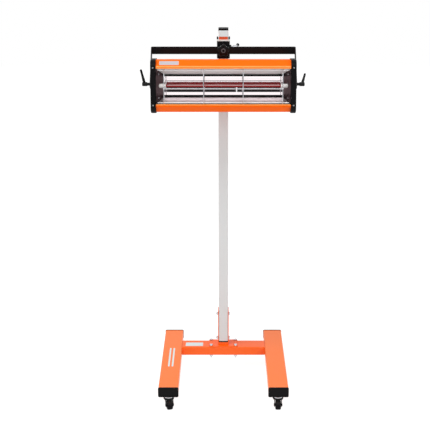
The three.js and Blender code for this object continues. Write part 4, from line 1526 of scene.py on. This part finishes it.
        # Second slot: the inner faces, near black as painted shade.
        piece.data.materials.append(None)
        piece.data.materials.append(None)
        apply_modifier(
            piece, "SOLIDIFY", thickness=self.wall, offset=-1.0, use_even_offset=True,
            material_offset=1,
        )
        return piece

    def housing(self, shop: Workshop) -> None:
        """The upper and lower front shells with their sloped shoulders."""
        upper = self.shell([
            (-self.front, self.opening), (-self.front, self.lip),
            (-self.front + self.shoulder, self.half_height), (self.shell_rear, self.half_height),
        ], self.fold)
        soften(upper, SHELL_EDGE)
        lower = copied(upper, turn(180, Axis.Y))
        for piece, name in ((upper, "upper_housing"), (lower, "lower_housing")):
            put(piece, self.place)
            shop.hand_over(piece, f"{name}_shell", "head", ORANGE, PAINTED_SHADE_INSIDE, stands_for=[name])

    def rear_cover(self, shop: Workshop) -> None:
        """The rear cover with its rounded vents and the cuts for the switch and the gland."""
        start = self.shell_rear + self.seam
        bend = start + self.wall
        cover = self.shell([
            (start, self.half_height), (bend, self.half_height), (self.back, self.rear_half),
            (self.back, -self.rear_half), (bend, -self.half_height), (start, -self.half_height),
        ], self.cover_fold)
        for column in range(self.vent_columns):
            for row in (-0.5, 0.5):
                x = (column - (self.vent_columns - 1) / 2) * self.vent_pitch[0]
                carved(cover, self.vent_cutter(x, row * self.vent_pitch[1]))
        low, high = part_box("switch_body")
        margin, half = self.switch_cut
        near, far = self.rear_cut
        carved(cover, block((low.x + margin, near, -half), (high.x - margin, far, half)))
        hole = lay_along(turned([(self.gland_hole, near), (self.gland_hole, far)], 32), Axis.Y)
        carved(cover, put(hole, shift(centre_of("cable_gland").x)))
        put(cover, self.place)
        shop.hand_over(cover, "rear_cover_shell", "head", ORANGE, PAINTED_SHADE_INSIDE, stands_for=["rear_cover"])

    def vent_cutter(self, x: float, z: float) -> bpy.types.Object:
        """The tool that cuts one vent with round ends, its middle at X and Z."""
        length, height = self.vent
        inward, outward_reach = self.vent_cut
        tool = block(
            (x - length / 2, self.back - inward, z - height / 2),
            (x + length / 2, self.back + outward_reach, z + height / 2),
        )
        round_corners(tool, Axis.Y, *self.vent_round)
        return tool

    def cover_screws(self, shop: Workshop) -> None:
        """Four pan-head screws that hold the rear cover."""
        x, z = self.cover_screw_place
        for index, (side, level) in enumerate(((-1, 1), (1, 1), (-1, -1), (1, -1))):
            head = lay_along(screw_head(*self.cover_screw), Axis.Y)
            put(head, self.place @ shift(side * x, self.back, level * z))
            shop.hand_over(head, f"cover_screw_{index + 1}", "head", ZINC)

    def end_cap(self, shop: Workshop, side: int, name: str) -> None:
        """A moulded end cap with rounded corners, a raised rim and its two screws."""
        outer = self.cap_inner + self.cap_width
        low = (self.cap_inner, self.cap_front, -self.cap_half)
        cap = block(low, (outer, self.cap_back, self.cap_half))
        margin, depth = self.cap_recess
        corner_segments, rim_segments = self.cap_segments
        with editing(cap):
            pick_edges(cap, lambda c, d: abs(d.x) > STRAIGHT)
            bpy.ops.mesh.bevel(offset=self.cap_corner, segments=corner_segments, affect="EDGES")
            pick_faces(cap, lambda c, n: n.x > STRAIGHT)
            bpy.ops.mesh.inset(thickness=margin)
            extrude((-depth, 0, 0))
        with editing(cap):
            pick_edges(cap, self.on_outer_rim)
            bpy.ops.mesh.bevel(offset=self.cap_round, segments=rim_segments, affect="EDGES")
        soften(cap, CAP_EDGE)
        radius, reach, depth = self.pit
        x, z = self.cap_screw_place
        for level, _ in LEVELS:
            pit = lay_along(turned([(radius, -reach), (radius, depth)], 28), Axis.Y)
            carved(cap, put(pit, shift(x, self.cap_front, level * z)))
        radius, depth, length = self.stud_hole
        stud = lay_along(turned([(radius, 0), (radius, length)], 28), Axis.X)
        carved(cap, put(stud, shift(outer - depth, 0, self.drop)))
        put(cap, self.place @ mirror(side))
        if side < 0:
            outward(cap)
        node = f"end_cap_{name}"
        shop.hand_over(cap, f"end_cap_moulding_{name}", "head", PLASTIC, stands_for=[node])
        for level, label in LEVELS:
            head = lay_along(screw_head(*self.cap_screw), Axis.Y)
            put(head, turn(180, Axis.Z))
            put(head, self.place @ shift(side * x, self.cap_front - self.cap_screw_rise, level * z))
            shop.hand_over(head, f"end_cap_screw_{name}_{label}", "head", DULL_SCREW)

    def on_outer_rim(self, centre: Vector, direction: Vector) -> bool:
        """Whether an edge lies on the outer edge of the right end cap."""
        outer = self.cap_inner + self.cap_width
        flat_y = self.cap_front + self.skin < centre.y < self.cap_back - self.skin
        flat_z = abs(centre.z) < self.cap_half - self.skin
        inside = flat_y and flat_z and self.in_rounded(centre.y, centre.z)
        return abs(centre.x - outer) < NEAR and abs(direction.x) < 0.1 and not inside

    def in_rounded(self, y: float, z: float) -> bool:
        """Whether a point lies inside the cap's outline by more than the rim's margin."""
        middle = (self.cap_front + self.cap_back) / 2
        half = (self.cap_back - self.cap_front) / 2
        dy = max(abs(y - middle) - (half - self.cap_corner), 0)
        dz = max(abs(z) - (self.cap_half - self.cap_corner), 0)
        near_corner = math.hypot(dy, dz) < self.cap_corner - self.rim_margin
        return near_corner and abs(y - middle) < half - self.rim_margin

    def reflectors(self, shop: Workshop) -> None:
        """The reflector sheets and their hems, a dark rod on the back sheet's crease as a painted
        dark reflection, and pale beads on the front's folds as painted highlights.
        """
        for part, finish in (
            # The lower sheet takes the darker copy of the upper's satin: painted shade.
            ("back", MIRROR), ("upper", SATIN), ("lower", SHADED_SATIN),
            # The end sheets are dark brown and mottled: painted reflections.
            ("end_left", PAINTED_REFLECTION_METAL), ("end_right", PAINTED_REFLECTION_METAL),
        ):
            shop.dress(f"reflector_{part}", finish)
        y, z = self.hem_place
        for level, name in LEVELS:
            spot = self.place @ shift(0, y, level * z)
            hem = rod(self.hem_radius, self.hem_reach, self.rim, 24, spot)
            shop.hand_over(hem, f"reflector_hem_{name}", "head", NICKEL)
        # A dark rod along the back sheet's crease: a painted dark line of reflection.
        radius, y, z = self.crease
        crease = rod(radius, self.crease_reach, radius / 2, 16, self.place @ shift(0, y, z))
        shop.hand_over(crease, "reflector_crease", "head", PAINTED_REFLECTION_METAL)
        # The beads on the folds and lips are pale orange: painted highlights.
        for name, y, z, radius in self.folds:
            bead = rod(radius, self.fold_reach, self.rim, 28, self.place @ shift(0, y, z))
            shop.hand_over(bead, f"housing_{name}", "head", PAINTED_HIGHLIGHT_FOLD)

    def sheet_screws(self, shop: Workshop, side: int, name: str) -> None:
        """The two small screws in an end reflector, square to its slant."""
        x, y, z = self.sheet_screw_place
        slant = Matrix.Rotation(math.atan2(*self.sheet_slant), 4, "Z")
        for level, label in LEVELS:
            head = lay_along(screw_head(*self.sheet_screw), Axis.X)
            put(head, turn(180, Axis.Z) @ slant)
            put(head, shift(x, y, level * z))
            put(head, self.place @ mirror(side))
            if side < 0:
                outward(head)
            shop.hand_over(head, f"reflector_screw_{name}_{label}", "head", ZINC)

    def heater(self, shop: Workshop) -> None:
        """The ruby tube with a pale rod half out of its front as a painted highlight, and the strap
        at its middle.
        """
        spot = self.place @ shift(0, *self.tube_place)
        tube = rod(self.tube_radius, self.tube_half, self.tube_rim, 48, spot, 5)
        shop.hand_over(tube, "infrared_tube_glass", "head", RUBY, stands_for=["infrared_tube"])
        # A pale nickel rod half out of the glass's front: a painted highlight along the tube.
        radius, y, z = self.tube_highlight
        reach = self.tube_half - self.tube_highlight_end
        tube_highlight = rod(radius, reach, radius / 2, 16, spot @ shift(0, y, z))
        shop.hand_over(tube_highlight, "infrared_tube_painted_highlight", "head", NICKEL)
        strap = block(*self.support)
        soften(strap, FINE_EDGE)
        shop.hand_over(put(strap, self.place), "tube_support_strap", "head", NICKEL)

    def ceramic_end(self, shop: Workshop, side: int, name: str) -> None:
        """A grooved ceramic end of the tube, with its thinner neck, and its clip."""
        body = lay_along(turned(self.ceramic, 48), Axis.X)
        put(body, shift(self.tube_half + self.ceramic_gap))
        put(body, self.place @ shift(0, *self.tube_place) @ mirror(side))
        outward(body)
        node = f"tube_end_{name}"
        shop.hand_over(body, f"tube_end_ceramic_{name}", "head", CERAMIC, stands_for=[node])
        shop.refine(f"tube_clip_{name}", "head", ZINC, CLIP_EDGE)

    def guard(self, shop: Workshop) -> None:
        """The upright guard wires and the level wire across them."""
        line = both_ways(self.wire_half)
        wires = [wire([(x, y, z) for y, z in line], self.wire_radius) for x in self.wire_places]
        spot = shift(0, *self.level_place)
        level = rod(self.wire_radius, self.level_reach, self.rim, 20, spot)
        guard = put(joined([*wires, level]), self.place)
        shop.hand_over(guard, "guard_wires", "head", ZINC, stands_for=["guard_grid"], smooth=60)

    def front_plate(self, shop: Workshop) -> None:
        """The blank silver plate on the upper shoulder."""
        left, right, half, film = self.plate
        rise = self.half_height - self.lip
        slope = Matrix.Rotation(math.atan2(rise, self.shoulder), 4, "X")
        plate = block((left, -half, 0), (right, half, film))
        round_corners(plate, Axis.Z, self.plate_corner)
        middle = shift(0, -self.front + self.shoulder / 2, self.lip + rise / 2)
        put(plate, self.place @ middle @ slope)
        shop.hand_over(plate, "head_plate", "head", PLATE)


@dataclass
class TiltLevers:
    """The two clamp levers outside the yoke arms.

    Attributes:
        face: Where a lever starts along X.
        hub: Radius and place of each step of its neck and hub.
        handle: Radius and height of each step of its handle below the tip.
        handle_place: Where the handle's foot lies along the hub.
        reach: Length of the handle.
        lean: How far the handle leans outward, in degrees.
        tip_radius: Radius of the handle's tip.
        tip_steps: Angles of the tip's steps from its rim, in radians.
        turns: Name, side and turn about X of each lever, in degrees.
    """

    face: float = 287.8 * MM
    hub: Profile = (
        (6 * MM, 0), (6 * MM, 9.5 * MM), (7.4 * MM, 10 * MM), (8.2 * MM, 11 * MM),
        (8.2 * MM, 27.5 * MM), (7.3 * MM, 29.2 * MM), (5.8 * MM, 30 * MM),
    )
    handle: Profile = (
        (4.48 * MM, 2 * MM), (5.6 * MM, 9 * MM), (5.6 * MM, 18 * MM), (4.576 * MM, 36 * MM)
    )
    handle_place: float = 20 * MM
    reach: float = 60 * MM
    lean: float = 14
    tip_radius: float = 4.4 * MM
    tip_steps: tuple[float, ...] = (0, 0.4, 0.8, 1.15, 1.4)
    turns: tuple[tuple[str, int, float], ...] = (("left", -1, 0), ("right", 1, -54))

    def build(self, shop: Workshop) -> None:
        """Makes one lever and places a copy at each side."""
        axis = centre_of("tilt_stud_right")
        hub = lay_along(turned(self.hub, 44), Axis.X)
        lever = united(hub, self.leaning_handle())
        soften(lever, LEVER_EDGE)
        for name, side, angle in self.turns:
            spot = shift(side * self.face, axis.y, axis.z) @ turn(angle, Axis.X)
            if side < 0:
                spot = spot @ turn(180, Axis.Z)
            body = f"tilt_lever_{name}"
            handle = copied(lever, spot)
            label = f"tilt_lever_handle_{name}"
            shop.hand_over(handle, label, body, GLOSS_PLASTIC, stands_for=[body])
        discard(lever)

    def leaning_handle(self) -> bpy.types.Object:
        """The slim handle with its round tip, leaning outward from the hub."""
        tip = self.tip_radius
        dome = [
            (tip * math.cos(a), self.reach - tip + tip * math.sin(a))
            for a in self.tip_steps
        ]
        handle = turned([*self.handle, *dome], 36)
        return put(handle, shift(self.handle_place) @ turn(self.lean, Axis.Y))


@dataclass(frozen=True)
class SoftBox:
    """A soft box of the studio.

    Attributes:
        name: Its name.
        place: Where it hangs.
        size: Its width and height.
        power: Its power in watts.
        highlight: Whether it shows only in reflections, and gives no light to matt faces.
    """

    name: str
    place: tuple[float, float, float]
    size: tuple[float, float]
    power: float
    highlight: bool = False

    def build(self, target: Vector) -> None:
        """Hangs the box so that it looks at a point."""
        bpy.ops.object.light_add(type="AREA", location=self.place)
        lamp = bpy.context.active_object
        lamp.name = self.name
        lamp.data.shape = "RECTANGLE"
        lamp.data.size, lamp.data.size_y = self.size
        lamp.data.energy = self.power
        lamp.visible_glossy = self.highlight
        lamp.visible_diffuse = not self.highlight
        lamp.rotation_euler = (target - Vector(self.place)).to_track_quat("-Z", "Y").to_euler()


@dataclass
class Studio:
    """Floor, surroundings, soft lights and the camera of the photograph.

    Attributes:
        camera_place: Where the camera stands.
        tilt: How far it looks down, in degrees.
        shift_x: Sideways shift of the picture.
        floor_radius: Radius of the floor.
        floor_sides: How many edges go round it.
        floor_shade: Brightness of the floor's paint.
        floor_roughness: Its roughness.
        floor_glow: Strength of the glow that keeps the floor white in the picture.
        glow_share: Share of the glow where the camera or a reflection looks.
        room_light: Strength of the surroundings as light.
        flag_place: Middle of the dark flag.
        flag_size: Its width and height.
        flag_shade: Brightness of its cloth.
        flag_roughness: Its roughness.
        target: Where the soft boxes look.
        boxes: The soft boxes.
    """

    camera_place: tuple[float, float, float] = (0.0, -4.068, 1.982)
    tilt: float = 17.0
    shift_x: float = -0.0195
    floor_radius: float = 9.0
    floor_sides: int = 96
    floor_shade: float = 0.86
    floor_roughness: float = 0.85
    floor_glow: float = 1.32
    glow_share: float = 0.7
    room_light: float = 0.5
    flag_place: tuple[float, float, float] = (0, -7.0, 2.5)
    flag_size: tuple[float, float] = (10.0, 3.4)
    flag_shade: float = 0.006
    flag_roughness: float = 0.9
    target: tuple[float, float, float] = (0, 0, 0.8)
    boxes: tuple[SoftBox, ...] = (
        SoftBox("key_box", (-1.4, -1.0, 4.0), (2.6, 2.6), 100),
        SoftBox("fill_box", (2.4, -3.0, 2.0), (1.8, 1.8), 42),
        SoftBox("front_box", (0.0, -4.8, 3.9), (3.6, 3.4), 88, highlight=True),
    )

    def build(self) -> None:
        """Sets up the whole studio."""
        self.camera()
        self.floor()
        self.surroundings()
        self.flag()
        for box in self.boxes:
            box.build(Vector(self.target))
        bpy.context.scene.view_settings.view_transform = "Standard"

    def camera(self) -> None:
        """The camera at the photograph's angle."""
        look = (math.radians(90 - self.tilt), 0, 0)
        bpy.ops.object.camera_add(location=self.camera_place, rotation=look)
        camera = bpy.context.active_object
        camera.name = "photo_camera"
        camera.data.sensor_width = SENSOR_WIDTH
        camera.data.lens = FOCAL_PIXELS * SENSOR_WIDTH / IMAGE_SIZE
        camera.data.shift_x = self.shift_x
        bpy.context.scene.camera = camera

    def paint(
        self, piece: bpy.types.Object, name: str, shade: float, roughness: float
    ) -> bpy.types.NodeTree:
        """Gives a piece of the studio a plain grey material.

        Args:
            piece: The piece.
            name: The material's name.
            shade: Its brightness.
            roughness: Its roughness.

        Returns:
            The material's node tree.
        """
        material = bpy.data.materials.new(name)
        material.use_nodes = True
        shader = material.node_tree.nodes["Principled BSDF"]
        shader.inputs["Base Color"].default_value = (shade, shade, shade, 1)
        shader.inputs["Roughness"].default_value = roughness
        piece.data.materials.append(material)
        return material.node_tree

    def seen(self, tree: bpy.types.NodeTree) -> bpy.types.NodeSocket:
        """A value that is 1 where the camera or a reflection looks, and 0 for other light."""
        path = add_node(tree, "ShaderNodeLightPath").outputs
        return reckoned(tree, "MAXIMUM", path["Is Camera Ray"], path["Is Glossy Ray"])

    def floor(self) -> None:
        """A round white floor that fades into the surroundings and keeps the lamp's shadow."""
        deselect()
        bpy.ops.mesh.primitive_circle_add(
            vertices=self.floor_sides, radius=self.floor_radius, fill_type="NGON"
        )
        floor = bpy.context.active_object
        floor.name = "studio_floor"
        tree = self.paint(floor, "white_floor", self.floor_shade, self.floor_roughness)
        links = {"Strength": self.floor_glow, "Color": (1, 1, 1, 1)}
        glow = add_node(tree, "ShaderNodeEmission", links)
        share = reckoned(tree, "MULTIPLY", self.seen(tree), self.glow_share)
        paint = tree.nodes["Principled BSDF"].outputs[0]
        links = {0: share, 1: paint, 2: glow.outputs[0]}
        mixed = add_node(tree, "ShaderNodeMixShader", links)
        tree.links.new(mixed.outputs[0], tree.nodes["Material Output"].inputs["Surface"])

    def surroundings(self) -> None:
        """A white world for the camera and for reflections, and a softer one as light."""
        world = bpy.data.worlds.new("white_room")
        bpy.context.scene.world = world
        world.use_nodes = True
        tree = world.node_tree
        room = tree.nodes["Background"]
        room.inputs["Color"].default_value = (1, 1, 1, 1)
        light = self.room_light
        strength = reckoned(tree, "MULTIPLY_ADD", self.seen(tree), 1 - light, light)
        tree.links.new(strength, room.inputs["Strength"])

    def flag(self) -> None:
        """A dark flag behind the camera that is seen only in reflections."""
        deselect()
        turned_up = (math.pi / 2, 0, 0)
        bpy.ops.mesh.primitive_plane_add(size=1, location=self.flag_place, rotation=turned_up)
        flag = bpy.context.active_object
        flag.name = "dark_flag"
        flag.scale = (*self.flag_size, 1)
        flag.visible_camera = False
        flag.visible_diffuse = False
        flag.visible_shadow = False
        self.paint(flag, "dark_cloth", self.flag_shade, self.flag_roughness)


def main() -> None:
    """Builds the lamp piece by piece around its frame."""
    logging.basicConfig(level=logging.INFO, format="%(name)s: %(message)s")
    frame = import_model()
    shop = Workshop(frame)
    BaseFrame().build(shop)
    Casters().build(shop)
    Mast().build(shop)
    Carriage().build(shop)
    shop.refine("yoke", "yoke", POWDER, YOKE_EDGE)
    LampHead().build(shop)
    TiltLevers().build(shop)
    Studio().build()
    log.info("%d pieces made", shop.count)


if __name__ == "__main__":
    main()
